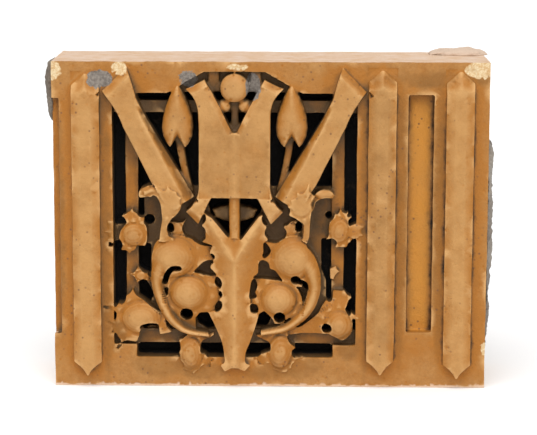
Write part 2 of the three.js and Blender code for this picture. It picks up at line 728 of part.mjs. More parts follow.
// A smear of mortar on a flat bed: blunt edges, an uneven top, and a thickness that changes end to end.
// It lies on its own XY plane, long way along X.
function mortar({ long, wide, thick, waves }) {
  const count = 22;
  const rings = [[1, 0], [0.94, 0.62], [0.7, 0.95], [0.35, 1]];
  const positions = [];
  const height = (x, y) => {
    const end = THREE.MathUtils.lerp(thick[0], thick[1], x / long + 0.5);
    return end * (0.9 + 0.1 * Math.sin((waves * x) / wide + 1) * Math.cos((waves * y) / wide));
  };
  for (const [share, rise] of rings) {
    for (let point = 0; point < count; point += 1) {
      const turn = (point * Math.PI * 2) / count;
      const ragged = 1 + 0.05 * Math.sin(point * 2.3 + waves);
      const corner = (Math.abs(Math.cos(turn)) ** 3 + Math.abs(Math.sin(turn)) ** 3) ** (-1 / 3);
      const x = (long / 2) * share * ragged * corner * Math.cos(turn);
      const y = (wide / 2) * share * ragged * corner * Math.sin(turn);
      positions.push(x, y, rise * height(x, y));
    }
  }
  positions.push(0, 0, height(0, 0), 0, 0, 0);
  const index = [];
  const crown = rings.length * count;
  for (let point = 0; point < count; point += 1) {
    const next = (point + 1) % count;
    for (let ring = 0; ring + 1 < rings.length; ring += 1) {
      const outer = ring * count;
      const inner = outer + count;
      index.push(inner + point, outer + point, outer + next);
      index.push(inner + point, outer + next, inner + next);
    }
    index.push(crown, crown - count + point, crown - count + next);
    index.push(crown + 1, next, point);
  }
  const geometry = new THREE.BufferGeometry();
  geometry.setAttribute('position', new THREE.Float32BufferAttribute(positions, 3));
  geometry.setIndex(index);
  return solid(geometry);
}

function toMesh(name, made, material) {
  const { vertProperties, triVerts } = made.getMesh();
  const geometry = new THREE.BufferGeometry();
  geometry.setAttribute('position', new THREE.BufferAttribute(new Float32Array(vertProperties), 3));
  geometry.setIndex(new THREE.BufferAttribute(new Uint32Array(triVerts), 1));
  const mesh = new THREE.Mesh(geometry, material);
  mesh.name = name;
  return mesh;
}

const terracotta = new THREE.MeshStandardMaterial({
  color: 0xc8965f,
  roughness: 0.62,
  metalness: 0,
  flatShading: true,
});
const oldMortar = new THREE.MeshStandardMaterial({
  color: 0x8f877c,
  roughness: 0.95,
  metalness: 0,
  flatShading: true,
});

const group = new THREE.Group();
group.add(toMesh('terracotta_panel', panel(), terracotta));
for (const { name, size, at, turn } of MORTAR) {
  const lump = toMesh(name, mortar(size), oldMortar);
  lump.position.set(...at);
  lump.rotation.set(...turn);
  group.add(lump);
}

export default group;
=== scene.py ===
"""A hand-pressed terracotta facing block with openwork relief, with old mortar on its joint faces."""

import math
import random

import bpy
import numpy as np
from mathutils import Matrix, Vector, noise
from mathutils.bvhtree import BVHTree


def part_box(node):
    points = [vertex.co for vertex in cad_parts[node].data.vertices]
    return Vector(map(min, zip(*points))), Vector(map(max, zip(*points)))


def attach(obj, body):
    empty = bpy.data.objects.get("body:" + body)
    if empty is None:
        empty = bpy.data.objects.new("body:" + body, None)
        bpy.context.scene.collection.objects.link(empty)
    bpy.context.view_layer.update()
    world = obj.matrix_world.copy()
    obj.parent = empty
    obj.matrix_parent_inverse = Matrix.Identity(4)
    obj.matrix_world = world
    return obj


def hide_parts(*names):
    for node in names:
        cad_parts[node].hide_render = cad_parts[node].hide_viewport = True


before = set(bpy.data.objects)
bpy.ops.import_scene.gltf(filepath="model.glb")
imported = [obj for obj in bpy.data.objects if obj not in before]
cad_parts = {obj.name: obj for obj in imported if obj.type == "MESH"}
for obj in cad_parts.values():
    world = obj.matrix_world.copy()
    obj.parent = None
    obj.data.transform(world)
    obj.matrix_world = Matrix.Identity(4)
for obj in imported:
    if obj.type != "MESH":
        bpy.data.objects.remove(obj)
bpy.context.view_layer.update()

bl_info = {
    "name": "Terracotta panel",
    "version": (1, 0, 0),
    "blender": (4, 5, 0),
    "location": "3D View > Sidebar > Terracotta",
    "description": "Models a fired clay facing block with openwork relief and old mortar",
    "category": "Mesh",
}

BLOCK_LOW, BLOCK_HIGH = (Vector(corner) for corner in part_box("terracotta_panel"))
MM = 0.001

# The block, in millimetres as the tables below, from the frame
LEFT, RIGHT = BLOCK_LOW.x / MM, BLOCK_HIGH.x / MM
HEIGHT, BACK = BLOCK_HIGH.z / MM, BLOCK_HIGH.y / MM
DEPTH = 102.0
FACE = BACK - DEPTH
WALL, SHELL = 28.0, 27.0

# Levels of the relief: depths behind the face, so a negative one stands proud
PROUD, GROUND, LATTICE, BACKING, STEM = -8.0, 33.0, 10.0, 13.0, 4.0

# A place in the relief is (out from this upright axis, height)
AXIS = -33.0
FIELD_HALF, FIELD_LOW, FIELD_TOP = 114.0, 40.0, 279.0
SLOT_HALF, SLOT_LOW = 92.5, 28.0
GABLE_HALF, GABLE_FOOT, GABLE_TOP = 28.0, 64.0, 299.0
UPRIGHT = (91.0, 102.5)
TOP_RAIL, LOW_RAIL = (260.0, 271.0), (40.0, 53.0)

BAR_HALF, BAR_WALL, BAR_RISE, BAR_FLAT, BAR_POINT = 12.8, 5.0, 3.4, 4.8, 13.0
PEAK_SHARE = 0.8
BARS = [(-171.5, 24, 286), (104, 26, 290), (176, 23, 289)]
PIT_X, PIT_HALF, PIT_LOW, PIT_TOP, PIT_DEPTH = 140.0, 12.0, 53.0, 278.0, 13.0
REBATE_WIDE, REBATE_LOW, REBATE_TOP, REBATE_DEPTH = 6.5, 50.0, 274.0, 9.0

# Outlines of the foliage, in millimetres, clockwise as seen. A corner is (X, Z, bow): the side that
# starts there bows out by that share of its length, and a negative bow is the hollow between two thorns.
LEAF = [
    (-60.5, 166.5), (-54.5, 162.8), (-37, 141.4), (-27, 141.4), (-10.4, 163.8), (-6.5, 166, -0.22),
    (-2.8, 154.5, -0.24), (-1.2, 142, -0.26), (-6.2, 136), (-6, 129.5, -0.22), (-4.8, 122.6, -0.22),
    (-10.8, 118.3), (-10.8, 111.5, 0.1), (-15.5, 106.5), (-17.8, 99.5), (-19.5, 88), (-19, 83.5),
    (-18.2, 72.5, -0.22), (-9.6, 72.3), (-13.9, 56.9), (-18.8, 42.7, -0.03), (-22.6, 33),
    (-23.2, 26, -0.26), (-18.3, 21.5), (-23.6, 15.8), (-30, 19), (-36.5, 19), (-42.3, 15.8),
    (-46.3, 21.6, -0.26), (-42.2, 27), (-43.6, 38.5, -0.03), (-47, 49.7), (-52, 60.8), (-57.2, 71),
    (-48.8, 72, -0.22), (-46, 84.9, -0.24), (-46.4, 93.8, -0.24), (-49.2, 107), (-51.2, 110),
    (-55.8, 114.5, 0.15), (-53, 118.5), (-51.8, 121.8, -0.26), (-55, 129), (-52.5, 136.2), (-58.5, 138),
    (-64.5, 139.5, -0.26), (-60.3, 147, -0.22), (-64, 155.4, -0.22),
]
# Each lobe: its outline, the level of its flat rim, how far its thorns curl back, and its crown as
# centre X and Z, half width, half height and rise above the rim
LOBES = {
    "left_curled_leaf": (
        [(-121.5, 181.7, 0.25), (-117, 191, 0.12), (-109.3, 192.6, 0.08), (-99.4, 187.4, -0.15),
         (-95, 193, -0.15), (-86.8, 188.3, -0.25), (-81.9, 182.4, -0.22), (-82.4, 174.6, 0.1),
         (-91.5, 163), (-95.5, 156), (-95, 146), (-91, 141), (-103, 141), (-101.8, 152), (-100.2, 162),
         (-101.2, 174), (-104.4, 184, -0.25), (-110.8, 181.9, -0.15), (-116.5, 182.2)],
        -9, 3, (-92.5, 177, 9, 11, 1.6),
    ),
    "left_small_leaf": (
        [(-96, 158.5), (-85.3, 156.5, -0.12), (-78.6, 159.5, -0.25), (-77.6, 142.6, -0.15),
         (-84, 144, -0.15), (-92, 141), (-101, 142), (-100, 152)],
        0, 3, (-87, 151, 5, 6, 1),
    ),
    "left_upper_lobe": (
        [(-105, 140, 0.08), (-97, 143.6, 0.04), (-83, 143.8, 0.04), (-73, 142, -0.15),
         (-50.3, 136, -0.35), (-51.2, 121, -0.18), (-67, 116), (-72.5, 110), (-80, 106), (-90, 97),
         (-101, 95), (-110.5, 104), (-110.6, 118, 0.05), (-109, 132, 0.1)],
        -2, 4, (-90.5, 124.5, 19.5, 18, 7.5),
    ),
    "left_lower_lobe": (
        [(-92.5, 104, 0.2), (-86, 106.5, -0.05), (-79.6, 107.5, 0.05), (-70, 109.3, 0.03),
         (-62, 107.2, 0.05), (-57, 106, -0.05), (-49.3, 107.5, -0.3), (-46.2, 93.8, -0.3),
         (-45.4, 84.8, -0.3), (-48, 67.3, -0.15), (-58.6, 71.8), (-66, 71.3), (-70, 66), (-70, 55.5),
         (-78, 57), (-86, 61.5, 0.1), (-92, 72, 0.1), (-94.5, 84, 0.1), (-94.3, 96, 0.08)],
        -2, 4, (-76, 90.5, 16.5, 15.5, 8),
    ),
    "left_shell": (
        [(-129.2, 93.8, -0.12), (-123, 86), (-115, 80), (-103, 70.5), (-99, 64.5), (-97.5, 57),
         (-92.7, 52), (-103.5, 50.5), (-104, 58), (-112, 56), (-122.8, 54), (-123, 50), (-125.5, 43),
         (-134, 44, -0.15), (-143.4, 36.5, -0.25), (-143.2, 47.5, -0.15), (-147.4, 52, -0.25),
         (-151.4, 61.3, -0.25), (-144.6, 65.5, -0.05), (-144.3, 71.5, -0.05), (-155.4, 75.9, -0.05),
         (-144.4, 76.3), (-142.8, 79.6, -0.25), (-136.2, 81.5, -0.05), (-135, 87.5, -0.15)],
        -2, 4, (-121, 66.5, 17, 14.5, 7),
    ),
    "left_low_thorn": (
        [(-124.5, 115.2, -0.15), (-115, 108), (-112, 100), (-119, 102.3, -0.15), (-125, 98.6, -0.25),
         (-135.4, 107.2, -0.25)],
        2, 2, (-121, 106, 5, 4, 1),
    ),
    "left_outer_leaf": (
        [(-129.3, 170.8, -0.15), (-125.3, 165.5), (-122.5, 162), (-116.5, 161.2, -0.25),
         (-116.3, 154, 0.05), (-115.2, 146, 0.05), (-116.7, 135), (-124.6, 135.6), (-127, 130.5, -0.15),
         (-131.8, 126.8, -0.25), (-140.4, 130, -0.25), (-141.4, 141.5, 0.05), (-139.2, 150),
         (-135.5, 154.5, -0.25), (-134.8, 159.5, -0.15), (-139.8, 163.2, -0.15), (-133.5, 166, -0.15)],
        -1, 3, (-127.5, 145.5, 10, 10, 4),
    ),
    "left_web": ([(-150, 152), (-137, 154), (-137, 141), (-150, 135)], 13, 1, None),
    "left_wall_thorns": (
        [(-146.5, 158), (-146.5, 138), (-152, 140.5, -0.15), (-150, 146), (-155.2, 149, -0.15),
         (-150.5, 152), (-151.8, 158.8)],
        -1.6, 1, None,
    ),
    "left_foot_lobe": (
        [(-86.9, 45, -0.15), (-80, 47.5), (-75.4, 50), (-62, 49.5), (-52, 50.8, 0.1), (-60, 46, -0.15),
         (-65.2, 41), (-65.7, 36, -0.25), (-60.5, 30.5, -0.15), (-54, 26, -0.25), (-57, 19.6, -0.35),
         (-66.4, 16.4, -0.15), (-71.9, 12.3, -0.15), (-77.5, 15.6), (-82, 16.6, -0.3),
         (-84.8, 25.5, -0.15), (-86, 32.5, -0.15), (-84.2, 39.3, -0.15)],
        -1.5, 3, (-74.5, 32, 10.5, 14, 5),
    ),
    "right_curled_leaf": (
        [(36.9, 197.3, -0.04), (36.6, 188.3), (41, 184), (37.5, 177), (38.6, 171), (37.8, 164),
         (37.3, 155), (37, 146), (35, 140), (31, 142), (31.6, 151), (31.5, 157.5), (24.8, 162.8),
         (17.6, 166.2, -0.25), (17, 174, -0.25), (19.1, 180.8, -0.25), (25.5, 188.6, -0.25),
         (31.5, 187, -0.03)],
        -9, 3, (29, 175, 9, 10, 1.6),
    ),
    "right_curl": (
        [(38, 170), (37.8, 177, -0.05), (42, 184.5, 0.1), (46, 188.5, 0.12), (53, 189.5, 0.12),
         (60.2, 184.3, 0.1), (57, 181.3, -0.08), (46.5, 180.5, -0.15), (42, 175.5), (40.5, 170)],
        -4, 2, (50, 185.2, 9, 4.2, 2.5),
    ),
    "right_small_leaf": (
        [(31, 158.5), (37, 153), (37, 145), (31, 142.5), (25, 145), (22.5, 144), (14.4, 143.2, -0.25),
         (12, 153.8, -0.15), (19.2, 158), (25, 160)],
        0, 3, (20, 151, 5.5, 6, 1),
    ),
    "right_upper_lobe": (
        [(-6.2, 140.5, -0.05), (7, 138.3), (14.2, 142.7, 0.08), (25, 144.4, 0.08), (33.5, 139.5),
         (35, 134.5, 0.05), (41, 127.5, 0.05), (46, 113.4, 0.03), (47.4, 100), (38, 95), (28, 97),
         (16, 98), (10.2, 105.5), (6.6, 110.6, -0.15), (0.2, 113.6), (-0.6, 119, -0.15),
         (-6.9, 122.2, -0.42)],
        -2, 4, (22, 124, 18.5, 18, 7.5),
    ),
    "right_lower_lobe": (
        [(-17, 106.2, -0.15), (-7.5, 104.2), (0.1, 103.4), (9.1, 102.2, 0.05), (17, 97.5, 0.08),
         (26.4, 94.5, 0.05), (30.2, 85.5, 0.05), (29.3, 77, 0.05), (25.3, 69.9), (15.6, 66),
         (12.2, 60.8), (5, 61), (2.5, 66.5), (-5, 73.8), (-15.1, 68, -0.25), (-12, 79.8), (-25.8, 82.5),
         (-12.3, 85.7, -0.15), (-13.8, 91.2, -0.25)],
        -2, 4, (8.5, 84.5, 15.5, 14.5, 8),
    ),
    "right_shell": (
        [(15, 52), (30.9, 58.8), (42.6, 67.3), (46.7, 72), (50, 79), (54, 85), (59, 92.5, 0.05),
         (70.6, 91.8, -0.15), (77.6, 86.4, -0.15), (72.5, 79), (70.5, 75.5, -0.05), (75, 68, 0.1),
         (78, 59, 0.12), (74, 49, 0.1), (67.8, 45.4, 0.05), (62.2, 48.8), (56, 51.8), (42, 51.7),
         (32.3, 52), (17, 50)],
        -1, 3, (65, 60.5, 12, 12.5, 6),
    ),
    "right_wall_thorn": ([(76.5, 71.5), (84.4, 66.6), (76.5, 66)], -1.6, 1, None),
    "right_low_thorn": (
        [(56.5, 112.5), (62, 115.2, -0.15), (66.8, 109.6, -0.15), (62.5, 107, -0.15), (61, 101.5),
         (56.5, 103)],
        7, 2, None,
    ),
    "right_outer_leaf": (
        [(66.2, 171.6, -0.15), (69.8, 166.3, -0.15), (74.6, 168, -0.25), (72.2, 162.6),
         (77.3, 163.4, -0.25), (73.2, 156), (73.8, 150), (78, 147.3), (82, 144, -0.15),
         (75, 139.8, -0.15), (72.5, 136.5), (71.6, 134.6, -0.05), (60.6, 134.5, -0.15),
         (62.8, 139.8, -0.15), (58, 143.5, -0.05), (53, 142, -0.15), (55, 150, 0.03), (56, 158),
         (59.5, 162, -0.15), (60, 166.3, -0.15), (64, 166)],
        -1, 3, (65, 150.5, 9, 11, 4),
    ),
    "right_wall_thorns": (
        [(79.5, 156.5), (88.6, 154.5, -0.15), (84.5, 150.5, -0.15), (87.2, 146.4), (80, 143), (73, 147),
         (73, 154)],
        -1.6, 1, None,
    ),
    "right_foot_lobe": (
        [(-12.8, 49, 0.05), (-3.7, 49.8), (3.2, 51.6), (15, 55), (15.7, 50.4, -0.05), (19.2, 42),
         (24.5, 37.8, -0.25), (21.4, 29.5), (24.2, 27), (30.4, 28.4, -0.15), (23, 23.6, -0.25),
         (20.6, 18, -0.25), (16.6, 15), (10.4, 14.3), (3.8, 17.3, -0.35), (2, 23), (-2.9, 23.4),
         (-9.2, 21.8, -0.25), (-14, 27.3, -0.15), (-8, 31.5), (-0.6, 33.5, -0.15), (1.3, 38.3, -0.15),
         (-2.3, 44.6)],
        -1.5, 3, (10, 34, 10.5, 15, 5),
    ),
}
# Rounded bodies of the scrolls: places along the middle, the width at each, and the proudest level
BANDS = [
    ([(-93, 127), (-102.5, 116), (-105.8, 100), (-101.6, 83.5), (-96, 71), (-88, 60.8), (-76, 53.3),
      (-58, 50.3)],
     [26, 15, 10.5, 10, 9, 8, 6, 4], -7),
    ([(24, 127), (37, 116), (42, 101), (40, 86), (34, 73.5), (25, 64), (13, 56.5), (-8, 52)],
     [26, 17, 12, 11, 10, 9, 7, 5], -7),
    ([(-116, 186.5), (-108.5, 188.8), (-101, 184.5), (-97, 177)], [8, 8, 9, 9], -9),
]
# Drilled eyes: places along the middle of each and its radius
EYES = [
    ([(-93, 154), (-93, 150.5)], 3.1), ([(27, 155.5), (27, 151.5)], 3.2),
    ([(-113.6, 158)], 4.8), ([(55.3, 163)], 3.7),
    ([(-85, 114.6), (-91.5, 114), (-96, 108.5), (-98.4, 101)], 2.9), ([(24, 103.4)], 4.7),
    ([(27, 102), (32.5, 99.4), (34, 95)], 2.8),
    ([(-78.3, 70)], 6.3), ([(9.2, 67.3)], 5.7),
    ([(-119, 57.3), (-113, 58.8), (-107.5, 58.3)], 3.4), ([(53.7, 57)], 5),
    ([(-119.5, 96), (-114, 85.5)], 4), ([(56.6, 96.5), (56.3, 84.5)], 2.9),
    ([(-55.5, 37.5), (-52, 36)], 6), ([(-4.5, 38.5), (-9, 36.5)], 5.5),
]
# Black gaps right through to the ground, beside the foot of the leaf
GAPS = [
    [(-70.2, 66), (-66, 71.8), (-59, 72), (-51.5, 54.5), (-58.8, 53), (-67.5, 58.5)],
    [(-14.3, 68.5), (-5.2, 74), (2.2, 66), (-2.4, 56), (-12.8, 55.2)],
]
# The clay left behind the openwork on each side, half way down to the ground
BACKING_SHAPES = [
    [(-118.5, 190), (-62, 190), (-55, 160), (-46, 130), (-46, 70), (-46, 42), (-86, 42), (-103, 44),
     (-119, 44), (-112, 70), (-112, 82), (-117, 100), (-113, 106), (-112, 134), (-118.5, 136)],
    [(-5, 190), (58, 190), (58, 142), (48, 140), (48, 112), (53, 100), (53, 82), (46, 70), (60, 52),
     (30, 42), (-20, 42), (-19, 70), (-19, 130), (-10, 160)],
]
# Little ladders of tool cuts: the line they follow, how many, and the length of each
LADDERS = [
    ((-100, 91.5), (-98.8, 81), 5, 3.4), ((-110.5, 78.3), (-103, 71), 4, 2.8),
    ((33.6, 88), (30, 70.5), 8, 3), ((48, 73), (58, 79.5), 5, 3.5),
]
# Cuts on the fronts, in the relief's terms: where each edge starts and ends, and how far in it reaches
STRAP_CUT, STRAP_CUT_WIDE, STRAP_CUT_DEEP = ((88, 266), (38, 182)), (3, 9), 9
STRAP_PLAIN = ((56, 172), (66, 180), (103, 248), (82, 255), (38, 182))
LIPS, LIP_DEEP = (((124, 279), (98, 305), 7), ((46, 282), (27, 292), 6), ((33, 155.5), (46, 168.5), 6)), 5
FORK_EDGE, FORK_LIP = ((22, 282), (2, 243)), 5
# The leaf's ridges meet at the foot and run out along its two arms, and fall away over the slope's width
RIDGE_FOOT, RIDGE_END = (0, 121.4), (25.5, 163.5)
LEAF_SLOPE, LEAF_FALL = 24.0, 8.0
# Small pits of the clay, and the seed that places them
CLAY_PITS, PIT_SEED = 700, 7560
# How far and in how many directions a place is looked round for what shuts it in
OPEN_REACH, OPEN_TURNS = (1.5, 3, 5, 8, 12, 18, 26, 36), 16
# Stains: centre X and Z, half width and half height, and a strength where it varies. The margin smudges
# also paint shade in strips beside the bars and round the feet of the lower lobes.
MARGIN_SMUDGES_AND_SHADE = (
    (-104, 22, 26, 14), (-62, 14, 22, 8), (26, 20, 24, 12), (-3, 14, 20, 8), (-146, 48, 12, 16),
    (74, 40, 12, 14), (-128, 276, 12, 14), (60, 276, 14, 12), (-40, 292, 34, 8), (150, 292, 60, 7),
    (90, 150, 6, 150), (-153, 150, 5, 150), (122, 160, 6, 140), (158, 160, 6, 140), (-196, 160, 4, 110),
)
FRONT_SMUDGES = (
    (-33, 215, 36, 52, 0.5), (104, 160, 14, 150, 0.6), (-110, 245, 30, 34, 0.3), (44, 240, 30, 34, 0.3),
)
MORTAR_SMEARS = ((-158, 292, 12, 8), (-76, 292, 8, 8), (-16, 285, 7, 13))
CHIPS = (
    (-202, 300, 9, 9), (196, 302, 17, 9), (203, 38, 4, 6), (-140, 302, 8, 7), (-31, 303, 11, 3.5),
)
# Share of the near-black soot painted beside each bar: soot, and painted shadow at the bars' feet.
BAR_SOOT_AND_SHADE = (0.3, 0.62, 0.62)
# The lights: the way each points, its power and its spread in degrees
LIGHTS = {"key_light": ((0.08, 0.55, -1.0), 2.3, 60), "fill_light": ((-0.6, 1.0, -0.4), 0.5, 60)}
# The camera: place in millimetres, pitch down, turn right and roll in degrees, and its lens
CAMERA_PLACE = (32.6, -1953.1, 500.5)
CAMERA_TURN = (10.074, -1.022, -0.136)
CAMERA_LENS = 138.65
LEFT_SIDE, RIGHT_SIDE = -1, 1
MORTARS = ("mortar_left", "mortar_right", "mortar_top")
# How each mortar has settled: the point it spreads from, how far each way, and the shift after
SETTLE = {
    "mortar_left": ((LEFT, 0, 248), (1, 1, 1.05), (0.4, 0, 0)),
    "mortar_right": ((RIGHT, 0, 130), (1.5, 1, 1), (-0.4, -8, 0)),
    "mortar_top": ((206, 0, HEIGHT), (1.28, 1.1, 0.75), (0, -1, -0.6)),
}


def clear_selection():
    if bpy.context.object and bpy.context.object.mode != "OBJECT":
        bpy.ops.object.mode_set(mode="OBJECT")
    bpy.ops.object.select_all(action="DESELECT")


def make_active(piece):
    clear_selection()
    bpy.context.view_layer.objects.active = piece
    piece.select_set(True)


def spot(out, z, side):
    """Turns a place in the relief on one side of its axis into X and Z."""
    return AXIS + side * out, z


def counter_clockwise(points):
    area = sum(a[0] * b[1] - b[0] * a[1] for a, b in zip(points, points[1:] + points[:1]))
    return points if area > 0 else points[::-1]


def slab(points, front, back, edge=0.8):
    """A flat piece of the given outline between two depths, its front arris eased."""
    points = counter_clockwise([tuple(p) for p in points])
    clear_selection()
    bpy.ops.mesh.primitive_circle_add(vertices=len(points), radius=MM, fill_type="NGON")
    piece = bpy.context.object
    for vertex, (x, z) in zip(piece.data.vertices, points):
        vertex.co = Vector((x, FACE + front, z)) * MM
    bpy.ops.object.mode_set(mode="EDIT")
    bpy.ops.mesh.select_all(action="SELECT")
    bpy.ops.mesh.extrude_region_move(TRANSFORM_OT_translate={"value": (0, (back - front) * MM, 0)})
    bpy.ops.mesh.select_all(action="SELECT")
    bpy.ops.mesh.normals_make_consistent(inside=False)
    if edge:
        select_where(piece, lambda co: co.y < (FACE + front + 0.01) * MM)
        bpy.ops.mesh.bevel(offset=edge * MM, segments=2, affect="EDGES")
    bpy.ops.object.mode_set(mode="OBJECT")
    return piece


def select_where(piece, test):
    """In edit mode, selects the edges whose ends both pass the test."""
    bpy.ops.mesh.select_mode(type="VERT")
    bpy.ops.mesh.select_all(action="DESELECT")
    bpy.ops.object.mode_set(mode="OBJECT")
    for vertex in piece.data.vertices:
        vertex.select = test(vertex.co)
    bpy.ops.object.mode_set(mode="EDIT")
    bpy.ops.mesh.select_mode(type="EDGE")


def box(x, z, front, back):
    """A plain block between two X, two Z and two depths."""
    return slab([(x[0], z[0]), (x[1], z[0]), (x[1], z[1]), (x[0], z[1])], front, back, 0)


def rings(points, centre, levels):
    """A closed stack: the outline at the first level, then scaled towards the centre at each next one."""
    points = counter_clockwise([tuple(p) for p in points])
    clear_selection()
    bpy.ops.mesh.primitive_circle_add(vertices=len(points), radius=MM, fill_type="NGON")
    piece = bpy.context.object
    depth, share = levels[0]
    for vertex, (x, z) in zip(piece.data.vertices, points):
        vertex.co = Vector((x, FACE + depth, z)) * MM
    bpy.ops.object.mode_set(mode="EDIT")
    bpy.ops.mesh.select_all(action="SELECT")
    middle = (centre[0] * MM, (FACE + depth) * MM, centre[1] * MM)
    for next_depth, next_share in levels[1:]:
        step = (next_depth - depth) * MM
        bpy.ops.mesh.extrude_region_move(TRANSFORM_OT_translate={"value": (0, step, 0)})
        scale = next_share / share
        bpy.ops.transform.resize(value=(scale, 1, scale), center_override=middle)
        depth, share = next_depth, next_share
    bpy.ops.mesh.select_all(action="SELECT")
    bpy.ops.mesh.normals_make_consistent(inside=False)
    bpy.ops.object.mode_set(mode="OBJECT")
    return piece


def smooth_line(places, steps):
    """Points and unit tangents along a smooth curve through the given places."""
    ends = [tuple(2 * np.array(places[0]) - np.array(places[1]))]
    tail = [tuple(2 * np.array(places[-1]) - np.array(places[-2]))]
    knots = [np.array(p, float) for p in ends + list(places) + tail]
    found = []
    spans = len(places) - 1
    for step in range(steps + 1):
        at = min(step / steps * spans, spans - 1e-9)
        span, t = int(at), at - int(at)
        a, b, c, d = knots[span : span + 4]
        square, cube = 2 * a - 5 * b + 4 * c - d, 3 * b - a - 3 * c + d
        point = 0.5 * (2 * b + (c - a) * t + square * t**2 + cube * t**3)
        slope = 0.5 * ((c - a) + 2 * square * t + 3 * cube * t**2)
        found.append((point, slope / np.linalg.norm(slope)))
    return found


def band_outline(places, widths):
    near_side, far_side = [], []
    steps = len(places) * 4
    for step, (point, slope) in enumerate(smooth_line(places, steps)):
        half = np.interp(step / steps, np.linspace(0, 1, len(widths)), widths) / 2
        near_side.append((point[0] - slope[1] * half, point[1] + slope[0] * half))
        far_side.append((point[0] + slope[1] * half, point[1] - slope[0] * half))
    return near_side + far_side[::-1]


def band_level(x, z, places, widths, level, fall=5.0):
    """The rounded front of a scroll's body, highest along its middle."""
    steps = len(places) * 14
    best = np.full(len(x), 1e6)
    for step, (point, _slope) in enumerate(smooth_line(places, steps)):
        half = np.interp(step / steps, np.linspace(0, 1, len(widths)), widths) / 2
        best = np.minimum(best, np.hypot(x - point[0], z - point[1]) / half)
    return level + fall * np.clip(best, 0, 1.3) ** 2


def bowed(corners, parts=6):
    """Follows the corners of an outline, and bows each side out or in by its share."""
    points = []
    for (x, z, *bow), (end_x, end_z, *_) in zip(corners, corners[1:] + corners[:1]):
        wide, high = end_x - x, end_z - z
        steps = parts if bow else 1
        for step in range(steps):
            share = step / steps
            swell = 4 * share * (1 - share) * bow[0] if bow else 0
            points.append((x + wide * share - high * swell, z + high * share + wide * swell))
    return points


def apply_boolean(piece, cutter, operation="DIFFERENCE"):
    make_active(piece)
    modifier = piece.modifiers.new("cut", "BOOLEAN")
    modifier.object, modifier.operation, modifier.solver = cutter, operation, "MANIFOLD"
    bpy.ops.object.modifier_apply(modifier=modifier.name)
    bpy.data.objects.remove(cutter)


def merge(pieces):
    """Makes one object of several, which may still run through each other."""
    clear_selection()
    for piece in pieces:
        piece.select_set(True)
    bpy.context.view_layer.objects.active = pieces[0]
    bpy.ops.object.join()
    return pieces[0]


def make_block():
    """The block: sunk field, slot, rebate and the open cells behind."""
    whole = box((LEFT, RIGHT), (0, HEIGHT), 0, DEPTH)
    field = (AXIS - FIELD_HALF, AXIS + FIELD_HALF)
    split = field[1] + 8
    gable = [spot(*corner, RIGHT_SIDE) for corner in (
        (-GABLE_FOOT, FIELD_TOP - 1), (GABLE_FOOT, FIELD_TOP - 1),
        (GABLE_HALF, GABLE_TOP), (-GABLE_HALF, GABLE_TOP),
    )]
    for cutter in (
        box(field, (FIELD_LOW, FIELD_TOP), -1, GROUND),
        box((AXIS - SLOT_HALF, AXIS + SLOT_HALF), (SLOT_LOW, FIELD_LOW + 1), -1, GROUND),
        slab(gable, -1, LATTICE, 0),
        box((LEFT + WALL, split), (WALL, HEIGHT - WALL), GROUND + SHELL, DEPTH + 1),
        box((split + WALL, RIGHT - WALL), (WALL, HEIGHT - WALL), PIT_DEPTH + SHELL, DEPTH + 1),
        box((PIT_X - PIT_HALF, PIT_X + PIT_HALF), (PIT_LOW, PIT_TOP), -1, PIT_DEPTH),
        box((LEFT - 1, LEFT + REBATE_WIDE), (REBATE_LOW, REBATE_TOP), -1, REBATE_DEPTH),
    ):
        apply_boolean(whole, cutter)
    return whole


def curve_points(start, pull, end, steps):
    """Points along a quadratic curve from start to end, drawn towards pull."""
    found = []
    for step in range(steps + 1):
        t = step / steps
        found.append(tuple(
            (1 - t) ** 2 * a + 2 * t * (1 - t) * b + t**2 * c for a, b, c in zip(start, pull, end)
        ))
    return found


def make_bars():
    made = []
    for x, low, high in BARS:
        outline = (
            curve_points((BAR_HALF, low), (4, low - 5), (0.8, low - BAR_POINT), 6)
            + curve_points((-0.8, low - BAR_POINT), (-4, low - 5), (-BAR_HALF, low), 6)
            + [(-BAR_HALF, high), (-1, high + BAR_POINT * PEAK_SHARE)]
            + [(1, high + BAR_POINT * PEAK_SHARE), (BAR_HALF, high)]
        )
        made.append(slab([(x + out, z) for out, z in outline], -BAR_WALL - BAR_RISE, 4))
    return made


def make_lattice():
    made = [box((AXIS - FIELD_HALF - 1, AXIS + FIELD_HALF + 1), rail, LATTICE, GROUND + 2)
            for rail in (TOP_RAIL, LOW_RAIL)]
    for side in (LEFT_SIDE, RIGHT_SIDE):
        edges = sorted(spot(out, 0, side)[0] for out in UPRIGHT)
        made.append(box(edges, (LOW_RAIL[0] - 1, FIELD_TOP + 1), LATTICE, GROUND + 2))
    return made


def make_strap(side):
    outline = (
        [(56, 172), (66, 180), (76, 194), (103, 248)]
        + curve_points((104, 251), (110, 266), (122, 281), 6)
        + curve_points((100, 303), (95, 292), (91, 274), 6)
        + [(82, 255), (38, 182)]
    )
    return slab([spot(out, z, side) for out, z in outline], PROUD, GROUND + 2)


def make_shield():
    half = (
        [(2, 243), (22, 282), (28, 291)]
        + curve_points((45, 283), (34, 275), (33, 258), 6)
        + curve_points((33, 190), (35, 177), (45, 168), 6)
        + [(34, 156.5), (21.5, 181.5)]
    )
    right = [spot(out, z, RIGHT_SIDE) for out, z in half]
    left = [spot(out, z, LEFT_SIDE) for out, z in half][::-1]
    return slab(right + left, PROUD, GROUND + 2)


def make_leaf():
    return slab(bowed(LEAF), PROUD, GROUND + 2, 0.5)


BUD_SHAPE = [
    (0, 33), (3, 29), (7, 22), (11, 12), (13.5, 3), (14.5, -7), (13.5, -15), (10, -22), (7, -25.5),
    (3.5, -20), (0, -15),
]


